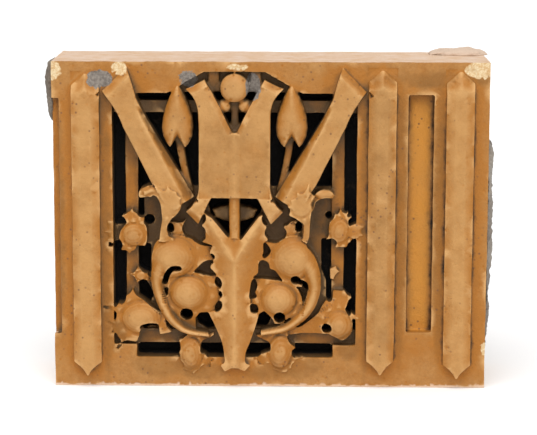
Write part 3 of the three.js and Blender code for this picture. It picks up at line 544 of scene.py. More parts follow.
def make_bud(side):
    half = [(53 + out, 254 + z) for out, z in BUD_SHAPE]
    other = [(53 - out, 254 + z) for out, z in BUD_SHAPE[1:-1]][::-1]
    points = [spot(out, z, side) for out, z in half + other]
    centre = spot(53, 252, side)
    levels = [(GROUND + 2, 1), (0, 1), (-2.5, 0.93), (-4.6, 0.8), (-6.2, 0.6), (-7.2, 0.36), (-7.5, 0.1)]
    stem = band_outline([spot(*at, side) for at in ((53, 242), (48, 212), (42, 186))], (7, 6))
    return [rings(points, centre, levels), slab(stem, STEM, GROUND + 2, 2)]


def circle(x, z, radius, count=28):
    turns = (2 * math.pi * k / count for k in range(count))
    return [(x + radius * math.cos(t), z + radius * math.sin(t)) for t in turns]


def make_central_bud():
    made = []
    for out, z, radius, rim, crown in ((0, 284, 13.3, -3, 6), (-9.5, 267, 6, 1, 6), (9.5, 267, 6, 1, 6)):
        x = AXIS + out
        levels = [(GROUND + 2, 1), (rim + 1, 1)]
        levels += [(rim + 1 - crown * math.sin(a), math.cos(a)) for a in (0.35, 0.7, 1.0, 1.3, 1.5)]
        made.append(rings(circle(x, z, radius), (x, z), levels))
    for side in (LEFT_SIDE, RIGHT_SIDE):
        sepal = [spot(out, z, side) for out, z in ((14, 280), (25, 280), (24, 300), (15, 300))]
        made.append(slab(sepal, STEM, LATTICE + 2))
    stem = band_outline([(AXIS, 275), (AXIS, 258), (AXIS, 240)], (6, 7.5))
    made.append(slab(stem, STEM, GROUND + 2, 1.6))
    return made


def make_stalk():
    upper = curve_points((-21, 168), (0, 178), (21, 168), 6)
    lower = curve_points((18, 161), (0, 152), (-18, 161), 6)
    calyx = [spot(out, z, RIGHT_SIDE) for out, z in upper + lower]
    stalk = band_outline([(AXIS, 184), (AXIS, 160), (AXIS, 138)], (10, 10))
    return [slab(stalk, -5, GROUND + 2, 2.5), slab(calyx, 7, GROUND + 2, 3)]


def make_foliage():
    """The scrolls and their lobes on the clay left behind them, drilled through with eyes."""
    pieces = [slab(shape, BACKING, GROUND + 2, 0) for shape in BACKING_SHAPES]
    for outline, rim, _curl, crown in LOBES.values():
        top = rim - crown[4] if crown else rim
        pieces.append(slab(bowed(outline), top, GROUND + 2, 0))
    for places, widths, level in BANDS:
        pieces.append(slab(band_outline(places, widths), level, GROUND + 2, 0))
    whole = pieces[0]
    for piece in pieces[1:]:
        apply_boolean(whole, piece, "UNION")
    for places, radius in EYES:
        for place in (places[0], places[-1]):
            apply_boolean(whole, slab(circle(*place, radius, 24), -18, GROUND - 4, 0))
        if len(places) > 1:
            outline = band_outline(places, (2 * radius, 2 * radius))
            apply_boolean(whole, slab(outline, -18, GROUND - 4, 0))
    for outline in GAPS:
        apply_boolean(whole, slab(outline, -18, GROUND - 1, 0))
    return whole


def remesh(piece, voxel, rounds):
    """Fuses everything into one skin and softens it as pressed clay is."""
    make_active(piece)
    modifier = piece.modifiers.new("fuse", "REMESH")
    modifier.mode, modifier.voxel_size, modifier.adaptivity = "VOXEL", voxel * MM, 0
    bpy.ops.object.modifier_apply(modifier=modifier.name)
    modifier = piece.modifiers.new("soften", "SMOOTH")
    modifier.factor, modifier.iterations = 0.5, rounds
    bpy.ops.object.modifier_apply(modifier=modifier.name)


def thin(piece, most):
    """Drops triangles where the skin is flat until no more than the given number is left."""
    make_active(piece)
    piece.data.calc_loop_triangles()
    count = len(piece.data.loop_triangles)
    if count > most:
        modifier = piece.modifiers.new("thin", "DECIMATE")
        modifier.ratio = most / count
        bpy.ops.object.modifier_apply(modifier=modifier.name)


def read_points(mesh):
    co = np.empty(len(mesh.vertices) * 3, np.float64)
    mesh.vertices.foreach_get("co", co)
    return co.reshape(-1, 3)


def write_points(mesh, co):
    mesh.vertices.foreach_set("co", co.ravel())
    mesh.update()


def read_normals(mesh):
    normals = np.empty(len(mesh.vertices) * 3, np.float64)
    mesh.vertices.foreach_get("normal", normals)
    return normals.reshape(-1, 3)


def near(value, low, high):
    """0 at low, 1 at high, and a smooth step between."""
    t = np.clip((value - low) / (high - low), 0, 1)
    return t * t * (3 - 2 * t)


def in_outline(x, z, points, margin, among):
    """Which of the points to look among lie in an outline or no further outside than the margin."""
    points = np.array(points)
    low, high = points.min(0) - margin, points.max(0) + margin
    near_by = np.flatnonzero(among & (x > low[0]) & (x < high[0]) & (z > low[1]) & (z < high[1]))
    px, pz = x[near_by], z[near_by]
    inside = np.zeros(len(near_by), bool)
    close = np.zeros(len(near_by), bool)
    for (ax, az), (bx, bz) in zip(points, np.roll(points, -1, 0)):
        if az != bz:
            inside ^= ((az > pz) != (bz > pz)) & (px < (bx - ax) * (pz - az) / (bz - az) + ax)
        wide, tall = bx - ax, bz - az
        along = np.clip(((px - ax) * wide + (pz - az) * tall) / max(wide**2 + tall**2, 1e-9), 0, 1)
        close |= np.hypot(px - ax - along * wide, pz - az - along * tall) < margin
    found = np.zeros(len(x), bool)
    found[near_by[inside | close]] = True
    return found


def lobe_level(x, z, rim, curl, crown):
    """A lobe's front: a swelling crown, a crease round it, a raised lip and thorns that curl back."""
    if not crown:
        return np.full(len(x), float(rim))
    cx, cz, half_x, half_z, rise = crown
    far = np.hypot((x - cx) / half_x, (z - cz) / half_z)
    turn = np.arctan2((z - cz) / half_z, (x - cx) / half_x)
    swell = rise * np.clip(1 - (far / 1.12) ** 2, 0, 1)
    crease = 1.1 * np.exp(-(((far - 1.1) / 0.1) ** 2)) * (0.55 + 0.45 * np.sin(turn * 1.5 + cx))
    veins = 0.5 * np.sin(11 * turn) * near(far, 1.1, 1.3)
    return rim + crease + veins + curl * near(far, 1.25, 2.1) - swell


def facet(x, z, start, end, side):
    """Distance in from an edge line, and how far along it, for points of the relief."""
    a, b = np.array(spot(*start, side)), np.array(spot(*end, side))
    way = (b - a) / np.linalg.norm(b - a)
    across = np.array([-way[1], way[0]]) * side
    along = ((x - a[0]) * way[0] + (z - a[1]) * way[1]) / np.linalg.norm(b - a)
    return (x - a[0]) * across[0] + (z - a[1]) * across[1], along


def leaf_aside(x, z):
    """How far a place on the leaf lies outside its ridge, below 0 within the fork of its two ridges."""
    out = abs(x - AXIS)
    foot, end = np.array(RIDGE_FOOT), np.array(RIDGE_END)
    way = (end - foot) / np.linalg.norm(end - foot)
    aside = (out - foot[0]) * way[1] - (z - foot[1]) * way[0]
    return np.where(z < RIDGE_FOOT[1], out * way[1], aside)


def carve(mesh):
    """Cuts the facets, ridges and bevelled lips back from the flat fronts."""
    co = read_points(mesh) / MM
    x, y, z = co.T
    depth = y - FACE
    limit = np.full(len(x), -100.0)
    for bar_x, low, high in BARS:
        inside = (abs(x - bar_x) < BAR_HALF + 1) & (z > low - BAR_POINT - 1) & (z < high + BAR_POINT)
        out = abs(x - bar_x)
        level = -BAR_WALL - BAR_RISE + BAR_RISE * np.clip((out - BAR_FLAT) / (BAR_HALF - BAR_FLAT), 0, 1)
        head = (z + out * BAR_POINT * PEAK_SHARE / BAR_HALF) - (high - 4)
        level = np.maximum(level, -BAR_WALL - BAR_RISE + np.clip(head, 0, 20) * 0.45)
        limit = np.where(inside, np.maximum(limit, level), limit)
    for side in (LEFT_SIDE, RIGHT_SIDE):
        across, along = facet(x, z, *STRAP_CUT, side)
        wide = STRAP_CUT_WIDE[0] + (STRAP_CUT_WIDE[1] - STRAP_CUT_WIDE[0]) * np.clip(along, 0, 1)
        cut = PROUD + STRAP_CUT_DEEP * (1 - across / wide) * near(along, -0.05, 0.12)
        here = (along > -0.05) & (along < 1.05) & (across > -2) & (across < wide) & (z > 170)
        limit = np.where(here, np.maximum(limit, cut), limit)
        for start, end, wide in LIPS:
            across, along = facet(x, z, start, end, side)
            here = (along > -0.1) & (along < 1.1) & (across > -2) & (across < wide)
            limit = np.where(here, np.maximum(limit, PROUD + LIP_DEEP * (1 - across / wide)), limit)
    out = abs(x - AXIS)
    for side in (LEFT_SIDE, RIGHT_SIDE):
        across, along = facet(x, z, *FORK_EDGE, side)
        here = (along > -0.1) & (along < 1) & (across > -2) & (across < FORK_LIP) & (z > 240)
        limit = np.where(here, np.maximum(limit, PROUD + 0.5 * (FORK_LIP - across)), limit)
    aside = leaf_aside(x, z)
    fall = np.where(aside > 0, LEAF_FALL * np.clip(aside / LEAF_SLOPE, 0, 1), -0.45 * aside)
    front = depth < 3
    flats = [(bowed(LEAF), PROUD + fall)]
    for side in (LEFT_SIDE, RIGHT_SIDE):
        flats.append(([spot(*corner, side) for corner in STRAP_PLAIN], None))
    for places, widths, level in BANDS:
        flats.append((band_outline(places, widths), band_level(x, z, places, widths, level)))
    for outline, rim, curl, crown in LOBES.values():
        flats.append((bowed(outline), lobe_level(x, z, rim, curl, crown)))
    found = np.full(len(x), 1000.0)
    for outline, level in flats:
        here = in_outline(x, z, outline, 1.3, front)
        found = np.where(here, np.minimum(found, -100 if level is None else level), found)
    limit = np.maximum(limit, np.where(found < 999, found, -100))
    shield = (z > 181) & (z < 243) & (out < 33)
    hollow = (0.5 * near(out, 4, 6) + 0.8 * out / 33) * near(z, 243, 225)
    limit = np.where(shield, np.maximum(limit, PROUD + hollow), limit)
    co[:, 1] = np.maximum(depth, np.where(depth < 2, limit, -100)) + FACE
    write_points(mesh, co * MM)


def roughen(mesh):
    """Adds the clay's unevenness, tool rings on the lobes, pits and nicked arrises."""
    co = read_points(mesh)
    normals = read_normals(mesh)
    push = np.array([
        0.5 * noise.noise(p * 45) + 0.18 * noise.noise(p * 150 + Vector((7, 1, 3)))
        for p in map(Vector, co)
    ])
    x, z = co[:, 0] / MM, co[:, 2] / MM
    front = normals[:, 1] < -0.3
    for _outline, _rim, _curl, crown in LOBES.values():
        if crown and crown[4] > 3:
            far = np.hypot((x - crown[0]) / crown[2], (z - crown[1]) / crown[3])
            turn = np.arctan2(z - crown[1], x - crown[0])
            wave = np.sin(far * crown[2] * 2 + 1.6 * np.sin(2 * turn + crown[0]))
            push += np.where(front & (far < 1.25), 0.1 * wave * near(far, 0.2, 0.5), 0)
    for start, end, count, length in LADDERS:
        start, end = np.array(start), np.array(end)
        long = np.linalg.norm(end - start)
        way = (end - start) / long
        along = ((x - start[0]) * way[0] + (z - start[1]) * way[1]) / long
        across = abs((z - start[1]) * way[0] - (x - start[0]) * way[1])
        here = front & (along > 0) & (along < 1) & (across < length / 2)
        push -= np.where(here, 0.45 + 0.45 * np.cos(2 * math.pi * count * along), 0)
    rng = random.Random(PIT_SEED)
    for _ in range(CLAY_PITS):
        px, pz = rng.uniform(LEFT, RIGHT), rng.uniform(0, HEIGHT)
        size, deep = rng.uniform(0.7, 1.5), rng.uniform(0.2, 0.7)
        far = np.hypot(x - px, z - pz)
        push -= np.where(front & (far < size), deep * (1 - (far / size) ** 2), 0)
    write_points(mesh, co + normals * (push * MM)[:, None])


def openness(mesh):
    """For each vertex, how shut in it is by what stands in front round it, from 0 in the open to 1."""
    step = 1.0
    tree = BVHTree.FromPolygons(
        [tuple(v.co) for v in mesh.vertices], [tuple(p.vertices) for p in mesh.polygons], epsilon=0.0
    )
    xs = np.arange(LEFT - 20, RIGHT + 20, step)
    zs = np.arange(-20, HEIGHT + 20, step)
    level = np.full((len(xs), len(zs)), BACK + 50.0)
    ahead = (FACE - 60) * MM
    for i, gx in enumerate(xs):
        for j, gz in enumerate(zs):
            hit = tree.ray_cast((gx * MM, ahead, gz * MM), (0, 1, 0))
            if hit[0] is not None:
                level[i, j] = hit[0].y / MM
    co = read_points(mesh) / MM
    shut = np.zeros(len(co))
    for k in range(OPEN_TURNS):
        way = 2 * math.pi * k / OPEN_TURNS
        best = np.zeros(len(co))
        for far in OPEN_REACH:
            i = np.clip(((co[:, 0] + far * math.cos(way)) - xs[0]) / step, 0, len(xs) - 1).astype(int)
            j = np.clip(((co[:, 2] + far * math.sin(way)) - zs[0]) / step, 0, len(zs) - 1).astype(int)
            best = np.maximum(best, (co[:, 1] - level[i, j]) / far)
        shut += np.sin(np.arctan(best)) / OPEN_TURNS
    return shut


def convexity(mesh):
    """For each vertex, how proud it is of its neighbours, positive on arrises and negative in creases."""
    co = read_points(mesh) / MM
    edges = np.empty(len(mesh.edges) * 2, np.int64)
    mesh.edges.foreach_get("vertices", edges)
    a, b = edges.reshape(-1, 2).T
    total, count = np.zeros_like(co), np.zeros(len(co))
    np.add.at(total, a, co[b])
    np.add.at(total, b, co[a])
    np.add.at(count, a, 1)
    np.add.at(count, b, 1)
    mean = total / np.maximum(count, 1)[:, None]
    length = np.zeros(len(co))
    gap = np.linalg.norm(co[a] - co[b], axis=1)
    np.add.at(length, a, gap)
    np.add.at(length, b, gap)
    value = ((co - mean) * read_normals(mesh)).sum(1) / np.maximum(length / np.maximum(count, 1), 0.3)
    for _ in range(2):
        total = np.zeros(len(co))
        np.add.at(total, a, value[b])
        np.add.at(total, b, value[a])
        value = 0.5 * value + 0.5 * total / np.maximum(count, 1)
    return value


def add_attribute(mesh, name, values):
    layer = mesh.attributes.new(name, "FLOAT", "POINT")
    layer.data.foreach_set("value", np.asarray(values, np.float32))


def node(tree, kind, **inputs):
    """Adds a shader node, with inputs given by name or by their number as _0, _1 and so on."""
    made = tree.nodes.new(kind)
    for key, value in inputs.items():
        if key.startswith("_"):
            socket = made.inputs[int(key[1:])]
        elif key in made.inputs:
            socket = made.inputs[key]
        else:
            setattr(made, key, value)
            continue
        if isinstance(value, bpy.types.NodeSocket):
            tree.links.new(value, socket)
        else:
            socket.default_value = value
    return made


def mix(tree, factor, first, second, blend="MIX"):
    made = tree.nodes.new("ShaderNodeMix")
    made.data_type, made.blend_type = "RGBA", blend
    for socket, value in zip((made.inputs[0], made.inputs[6], made.inputs[7]), (factor, first, second)):
        if isinstance(value, bpy.types.NodeSocket):
            tree.links.new(value, socket)
        else:
            socket.default_value = value
    return made.outputs[2]


def ramp(tree, value, low, high, start=0.0, end=1.0):
    made = node(tree, "ShaderNodeMapRange", clamp=True)
    tree.links.new(value, made.inputs[0])
    for index, number in enumerate((low, high, start, end), 1):
        made.inputs[index].default_value = number
    return made.outputs[0]


def pattern(tree, point, scale, detail=3.0, rough=0.55, shift=(0, 0, 0)):
    mapped = node(tree, "ShaderNodeMapping", Vector=point, Location=shift)
    place = mapped.outputs[0]
    made = node(tree, "ShaderNodeTexNoise", Vector=place, Scale=scale, Detail=detail, Roughness=rough)
    return made.outputs[0]


def ragged(tree, value, clouds, low, high):
    """Adds clouds, which swing between low and high, to a value, so that its edge turns ragged."""
    total = node(tree, "ShaderNodeMath", operation="ADD", _0=value)
    tree.links.new(ramp(tree, clouds, 0.3, 0.7, low, high), total.inputs[1])
    return total.outputs[0]


def attribute(tree, name):
    return node(tree, "ShaderNodeAttribute", attribute_name=name).outputs["Fac"]


def times(tree, a, b):
    made = tree.nodes.new("ShaderNodeMath")
    made.operation = "MULTIPLY"
    for socket, value in zip(made.inputs, (a, b)):
        if isinstance(value, bpy.types.NodeSocket):
            tree.links.new(value, socket)
        else:
            socket.default_value = value
    return made.outputs[0]


def rgba(colour):
    return (*colour[:3], 1.0)


def fired_clay(colours):
    """Worn buff terracotta: orange and darker in the shut-in recesses, as greasy dirt with painted shade;
    sooted in the deep ground, with painted shade; paler on the arrises, as wear with a painted highlight;
    painted highlight on the proud fronts and a painted pool of light on the sunk slot's floor.
    """
    material = bpy.data.materials.new("fired_clay")
    material.use_nodes = True
    tree = material.node_tree
    tree.nodes.clear()
    point = node(tree, "ShaderNodeTexCoord").outputs["Object"]
    shader = node(tree, "ShaderNodeBsdfPrincipled")
    shader.inputs["Specular IOR Level"].default_value = 0.3
    node(tree, "ShaderNodeOutputMaterial", Surface=shader.outputs[0])
    broad = ramp(tree, pattern(tree, point, 14, 2), 0.35, 0.65)
    middling = ramp(tree, pattern(tree, point, 70, 4, 0.6, (3, 1, 2)), 0.35, 0.68)
    grain = ramp(tree, pattern(tree, point, 420, 3, 0.7, (1, 5, 2)), 0.3, 0.7)
    colour = mix(tree, broad, rgba(colours.clay), rgba(colours.clay_warm))
    colour = mix(tree, times(tree, middling, 0.45), colour, rgba(colours.clay_pale))
    colour = mix(tree, times(tree, grain, 0.3), colour, rgba(colours.clay_dark))
    scuff = ramp(tree, pattern(tree, point, 190, 4, 0.7, (4, 9, 6)), 0.42, 0.7)
    colour = mix(tree, times(tree, scuff, 0.3), colour, rgba(colours.clay_pale))
    # Painted shade: shut_in drives an orange-brown toning of the recesses, partly greasy dirt, partly
    # painted shade where the relief hides the light.
    shut = attribute(tree, "shut_in")
    cloud = pattern(tree, point, 36, 4, 0.6, (6, 2, 9))
    grime_and_shade = ragged(tree, shut, cloud, -0.08, 0.08)
    recess = ramp(tree, grime_and_shade, 0.01, 0.2)
    colour = mix(tree, times(tree, recess, 0.9), colour, rgba(colours.recess))
    # Brighter ochre on the sunk slot's floor, strongest away from its walls: the floor's ochre clay with
    # a painted pool of light.
    ochre = times(tree, attribute(tree, "ochre"), ramp(tree, cloud, 0.3, 0.7, 0.75, 1))
    colour = mix(tree, ochre, colour, rgba(colours.ochre))
    # Lighter proud fronts, leaf ridge and shield crease: wear, with painted highlight where facets would
    # catch the light.
    patchy_wear_and_highlight = ramp(tree, pattern(tree, point, 55, 5, 0.6, (2, 4, 7)), 0.3, 0.6, 0.25, 1)
    rubbed = times(tree, attribute(tree, "rubbed"), patchy_wear_and_highlight)
    colour = mix(tree, times(tree, rubbed, 0.75), colour, rgba(colours.clay_pale))
    # Brown smudges: dirt on the margins and fronts, and painted shade beside the bars and round the feet
    # of the lower lobes.
    smudge = times(tree, attribute(tree, "smudge"), 0.75)
    smudge = ragged(tree, smudge, pattern(tree, point, 48, 5, 0.65, (8, 3, 1)), -0.35, 0.25)
    colour = mix(tree, ramp(tree, smudge, 0.1, 1, 0, 0.7), colour, rgba(colours.smudge))
    # Near-black olive in the most shut-in hollows: painted shade, with some dirt.
    deep = ramp(tree, grime_and_shade, 0.34, 0.62)
    colour = mix(tree, times(tree, deep, 0.9), colour, rgba(colours.grime_and_shade))
    # Paler arrises: edge wear with a painted highlight along them.
    arris = ramp(tree, attribute(tree, "arris"), 0.03, 0.16)
    colour = mix(tree, times(tree, arris, 0.7), colour, rgba(colours.edge_wear_and_highlight))
    specks = node(tree, "ShaderNodeTexVoronoi", Vector=point, Scale=150.0, feature="F1")
    speck = ramp(tree, specks.outputs["Distance"], 0.2, 0.1)
    patchy = ramp(tree, pattern(tree, point, 30, 2, 0.5, (9, 2, 4)), 0.46, 0.58)
    colour = mix(tree, times(tree, times(tree, speck, patchy), 0.75), colour, rgba(colours.speck))
    # Near-black in the deep ground, at the slot's sides and beside the bars: soot, and painted shade.
    smoke = pattern(tree, point, 60, 4, 0.65, (5, 5, 5))
    soot = ramp(tree, ragged(tree, attribute(tree, "soot"), smoke, -0.28, 0.28), 0.3, 0.85)
    colour = mix(tree, soot, colour, rgba(colours.soot))
    crumb = pattern(tree, point, 190, 4, 0.7, (2, 8, 1))
    patch = ramp(tree, ragged(tree, attribute(tree, "patch"), crumb, -0.3, 0.3), 0.42, 0.58)
    smear = mix(tree, grain, rgba(colours.mortar), rgba(colours.mortar_dark))
    colour = mix(tree, patch, colour, smear)
    flake = pattern(tree, point, 130, 4, 0.7, (7, 2, 5))
    chip = ramp(tree, ragged(tree, attribute(tree, "chip"), flake, -0.45, 0.2), 0.4, 0.62)
    colour = mix(tree, chip, colour, mix(tree, grain, rgba(colours.chip), rgba(colours.clay_pale)))
    bed = ramp(tree, attribute(tree, "bed"), 0.3, 0.7)
    joint = mix(tree, times(tree, middling, 0.5), rgba(colours.bed), rgba(colours.clay_pale))
    colour = mix(tree, bed, colour, joint)
    tree.links.new(colour, shader.inputs["Base Color"])
    rough = ramp(tree, middling, 0, 1, 0.5, 0.66)
    matt = node(tree, "ShaderNodeMath", operation="MAXIMUM", _0=times(tree, soot, 0.9))
    tree.links.new(rough, matt.inputs[1])
    dull = node(tree, "ShaderNodeMath", operation="MAXIMUM", _0=matt.outputs[0])
    tree.links.new(times(tree, patch, 0.95), dull.inputs[1])
    tree.links.new(dull.outputs[0], shader.inputs["Roughness"])
    height = node(tree, "ShaderNodeMath", operation="ADD", _0=times(tree, grain, 0.5))
    tree.links.new(times(tree, middling, 0.5), height.inputs[1])
    bump = node(tree, "ShaderNodeBump", Strength=0.7, Distance=0.0009, Height=height.outputs[0])
    tree.links.new(bump.outputs[0], shader.inputs["Normal"])
    return material


def lime_mortar(colours, name, tint, share):
    """Dry mortar with coarse sand in it, tinted towards the given colour."""
    material = bpy.data.materials.new(name)
    material.use_nodes = True
    tree = material.node_tree
    tree.nodes.clear()
    point = node(tree, "ShaderNodeTexCoord").outputs["Object"]
    shader = node(tree, "ShaderNodeBsdfPrincipled", Roughness=0.95)
    node(tree, "ShaderNodeOutputMaterial", Surface=shader.outputs[0])
    grain = ramp(tree, pattern(tree, point, 320, 5, 0.75), 0.3, 0.7)
    broad = ramp(tree, pattern(tree, point, 40, 3, 0.5, (4, 4, 1)), 0.35, 0.65)
    colour = mix(tree, grain, rgba(colours.mortar_dark), rgba(colours.mortar))
    colour = mix(tree, times(tree, broad, 0.4), colour, rgba(colours.mortar_pale))
    colour = mix(tree, share, colour, rgba(tint))
    tree.links.new(colour, shader.inputs["Base Color"])
    bump = node(tree, "ShaderNodeBump", Strength=0.6, Distance=0.001, Height=grain)
    tree.links.new(bump.outputs[0], shader.inputs["Normal"])
    return material


def colour_property(name, description, default):
    return bpy.props.FloatVectorProperty(
        name=name, description=description, subtype="COLOR", size=3, default=default, min=0, max=1
    )


class TerracottaColours(bpy.types.PropertyGroup):
    """Colours of the fired clay, the dirt and the mortar."""

    clay: colour_property("Clay", "Buff body of the fired clay", (0.39, 0.18, 0.044))
    clay_warm: colour_property("Warm clay", "Oranger cloud in the body", (0.36, 0.15, 0.028))
    clay_pale: colour_property("Pale clay", "Pinker, paler cloud in the body", (0.52, 0.275, 0.09))
    clay_dark: colour_property("Dark grain", "Dark grain of the body", (0.19, 0.08, 0.018))
    # Recess: orange-brown toning of the shut-in recesses, greasy dirt and painted shade.
    recess: colour_property("Recess", "Oily orange-brown of the recesses", (0.37, 0.135, 0.013))
    # Olive-brown dirt and painted shade in the hollows; it also tints the left mortar.
    grime_and_shade: colour_property("Grime", "Olive-brown dirt in the hollows", (0.085, 0.052, 0.022))
    # Smudges: dirt, and painted shade beside the bars and round the lower lobes.
    smudge: colour_property("Smudge", "Brown smudges on the flat margins", (0.20, 0.085, 0.014))
    # Paler edges: wear, with painted highlight.
    edge_wear_and_highlight: colour_property("Worn arris", "Rubbed edges", (0.66, 0.38, 0.15))
    # Ochre of the slot's floor, lightened there as a painted pool of light.
    ochre: colour_property("Ochre", "Bright ochre of the sunk slot's floor", (0.62, 0.26, 0.035))
    speck: colour_property("Speck", "Dark specks in the clay", (0.16, 0.07, 0.03))
    # Soot in the deep ground, also painted shade there, at the slot's sides and beside the bars.
    soot: colour_property("Soot", "Soot in the deep ground", (0.012, 0.010, 0.009))
    chip: colour_property("Chip", "Cream clay where the skin has chipped", (0.78, 0.66, 0.42))
    bed: colour_property("Bed", "Pale clay of the beds and joints", (0.68, 0.50, 0.37))
    mortar: colour_property("Mortar", "Grey mortar", (0.30, 0.26, 0.22))
    mortar_dark: colour_property("Dark mortar", "Sand grains in the mortar", (0.12, 0.10, 0.085))
    mortar_pale: colour_property("Pale mortar", "Limy patches of the mortar", (0.55, 0.50, 0.43))


class TerracottaSizes(bpy.types.PropertyGroup):
    """How fine the skin is made."""

    voxel: bpy.props.FloatProperty(
        name="Skin cell", description="Cell size of the fused skin, in millimetres",
        default=1.0, min=0.5, max=4
    )
    triangles: bpy.props.IntProperty(
        name="Triangles", description="Most triangles in the panel's skin",
        default=190000, min=1000, max=199000
    )


def blob(x, z, cx, cz, half_x, half_z):
    """1 inside an ellipse, fading to 0 across its edge."""
    far = np.hypot((x - cx) / half_x, (z - cz) / half_z)
    return 1 - near(far, 0.75, 1.25)


def stain(mesh):
    """Works out for each vertex how shut in, sooted, worn, chipped or smeared it is, and where painted
    shade and painted highlight go.
    """
    co = read_points(mesh) / MM
    x, y, z = co.T
    depth = y - FACE
    shut = openness(mesh)
    _nx, ny, nz = read_normals(mesh).T
    in_block = (depth < GROUND + 3) & (depth > -20)
    pit = (abs(x - PIT_X) < PIT_HALF + 1) & (z > PIT_LOW - 1) & (z < PIT_TOP + 1)
    # In the sunk slot the painted shade is cut to a fifth, so its floor stays light.
    shut = np.where(pit, 0.2 * shut, shut)
    add_attribute(mesh, "shut_in", shut)
    # Arrises get paler: wear, with painted highlight.
    add_attribute(mesh, "arris", convexity(mesh))
    # Slot floor lit as a painted pool of light, fading under its top wall and towards its sides.
    floor = pit * near(depth, PIT_DEPTH - 5, PIT_DEPTH - 2) * near(z, PIT_TOP, PIT_TOP - 12)
    add_attribute(mesh, "ochre", floor * near(abs(x - PIT_X), PIT_HALF - 1, PIT_HALF - 6))
    # Painted highlight on the proudest fronts and along the leaf's ridge and the shield's crease, read as
    # wear too.
    rubbed = near(-depth, 4.5, 8.2)
    aside = leaf_aside(x, z)
    ridge = (abs(aside) < 1.6) & (z > 24) & (z < 165) & (depth < -4)
    crease = (abs(x - AXIS) < 1) & (z > 141) & (z < 243) & (depth < -3)
    add_attribute(mesh, "rubbed", rubbed + 0.8 * (ridge | crease))
    inside = (abs(x - AXIS) < FIELD_HALF + 3) & (z > SLOT_LOW - 3) & (z < GABLE_TOP + 3)
    # Soot darkens the deep ground, with painted shade added where the ground is shut in.
    deep = near(depth, 15, 26) + 0.5 * near(depth, 11, 16) * near(shut, 0.45, 0.8)
    soot = np.where(in_block & inside, deep, 0)
    # The slot darkens towards its side walls: painted shade, with soot.
    soot = np.where(pit & (depth > 1), 0.7 * near(abs(x - PIT_X), PIT_HALF - 5, PIT_HALF), soot)
    # Dark strips on the ground beside each bar: soot, and painted shadow.
    for (bar_x, low, high), share in zip(BARS, BAR_SOOT_AND_SHADE):
        off = abs(x - bar_x)
        beside = near(off, BAR_HALF + 5, BAR_HALF) * (abs(depth) < 2.5) * (off > BAR_HALF - 0.5)
        soot = np.maximum(soot, share * beside * near(z, low - 8, low + 4) * near(z, high, high - 20))
    add_attribute(mesh, "soot", np.clip(soot, 0, 1))
    smudge = np.zeros(len(x))
    # Smudges on the margins, also painted shade beside the bars and round the lower lobes.
    for cx, cz, half_x, half_z in MARGIN_SMUDGES_AND_SHADE:
        smudge = np.maximum(smudge, blob(x, z, cx, cz, half_x, half_z) * (abs(depth) < 4))
    for cx, cz, half_x, half_z, share in FRONT_SMUDGES:
        smudge = np.maximum(smudge, share * blob(x, z, cx, cz, half_x, half_z) * (depth < -4))
    add_attribute(mesh, "smudge", smudge)
    patch = np.zeros(len(x))
    for cx, cz, half_x, half_z in MORTAR_SMEARS:
        patch = np.maximum(patch, blob(x, z, cx, cz, half_x, half_z) * (depth < 12))
    add_attribute(mesh, "patch", patch)
    chip = np.zeros(len(x))
    for cx, cz, half_x, half_z in CHIPS:
        chip = np.maximum(chip, blob(x, z, cx, cz, half_x, half_z) * (depth < 6))
    add_attribute(mesh, "chip", chip)
    top = (nz > 0.7) & (z > HEIGHT - 8)
    ends = (abs(ny) < 0.5) & ((x < LEFT + 1) | (x > RIGHT - 1))
    joint = (depth > 1.5) & (top | ends)
    rear = depth > GROUND + 6
    add_attribute(mesh, "bed", np.where(joint | rear | (z < 1), 1.0, 0.0))


class TERRACOTTA_OT_panel(bpy.types.Operator):
    """Models the fired block with its relief as one skin"""

    bl_idname = "terracotta.panel"
    bl_label = "Panel"

    def execute(self, context):
        sizes = context.scene.terracotta_sizes
        pieces = [make_block(), *make_bars(), *make_lattice(), make_shield(), make_leaf()]
        pieces += make_central_bud() + make_stalk() + [make_foliage()]
        for side in (LEFT_SIDE, RIGHT_SIDE):
            pieces += [make_strap(side), *make_bud(side)]
        panel = merge(pieces)
        panel.name = "panel"
        remesh(panel, sizes.voxel, 2)
        carve(panel.data)
        roughen(panel.data)
        thin(panel, sizes.triangles)
        stain(panel.data)
        panel.data.materials.clear()
        panel.data.materials.append(fired_clay(context.scene.terracotta_colours))
        make_active(panel)
        bpy.ops.object.shade_smooth_by_angle(angle=math.radians(50))
        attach(panel, "root")
        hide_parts("terracotta_panel")
        return {"FINISHED"}


class TERRACOTTA_OT_mortar(bpy.types.Operator):
    """Models the remains of mortar on the joint faces and the top bed"""

    bl_idname = "terracotta.mortar"
    bl_label = "Mortar"

    def execute(self, context):
        colours = context.scene.terracotta_colours
        tints = ((colours.grime_and_shade, 0.45), (colours.mortar_dark, 0.2), (colours.bed, 0.8))
        for name, (tint, share) in zip(MORTARS, tints):
            material = lime_mortar(colours, name + "_lime", tint, share)
            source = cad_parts[name]
            clear_selection()
            lump = source.copy()
            lump.data = source.data.copy()
            lump.parent = None
            context.scene.collection.objects.link(lump)
            lump.name = name + "_rough"
            lump.hide_set(False)
            context.view_layer.objects.active = lump
            lump.select_set(True)
            bpy.ops.object.mode_set(mode="EDIT")
            bpy.ops.mesh.select_all(action="SELECT")
            bpy.ops.mesh.remove_doubles(threshold=0.00001)
            bpy.ops.mesh.normals_make_consistent(inside=False)
            bpy.ops.object.mode_set(mode="OBJECT")
            remesh(lump, 1.0, 2)
            mesh = lump.data
            co = read_points(mesh)
            push = np.array([
                2.0 * noise.noise(p * 70) + 1.0 * noise.noise(p * 240) - 0.2 for p in map(Vector, co)
            ])
            co = (co + read_normals(mesh) * (push * MM)[:, None]) / MM
            seat, spread, shift = SETTLE[name]
            write_points(mesh, (np.array(seat) + (co - seat) * spread + shift) * MM)
            mesh.materials.clear()
            mesh.materials.append(material)
            bpy.ops.object.shade_smooth()
            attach(lump, "root")
            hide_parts(name)
        return {"FINISHED"}


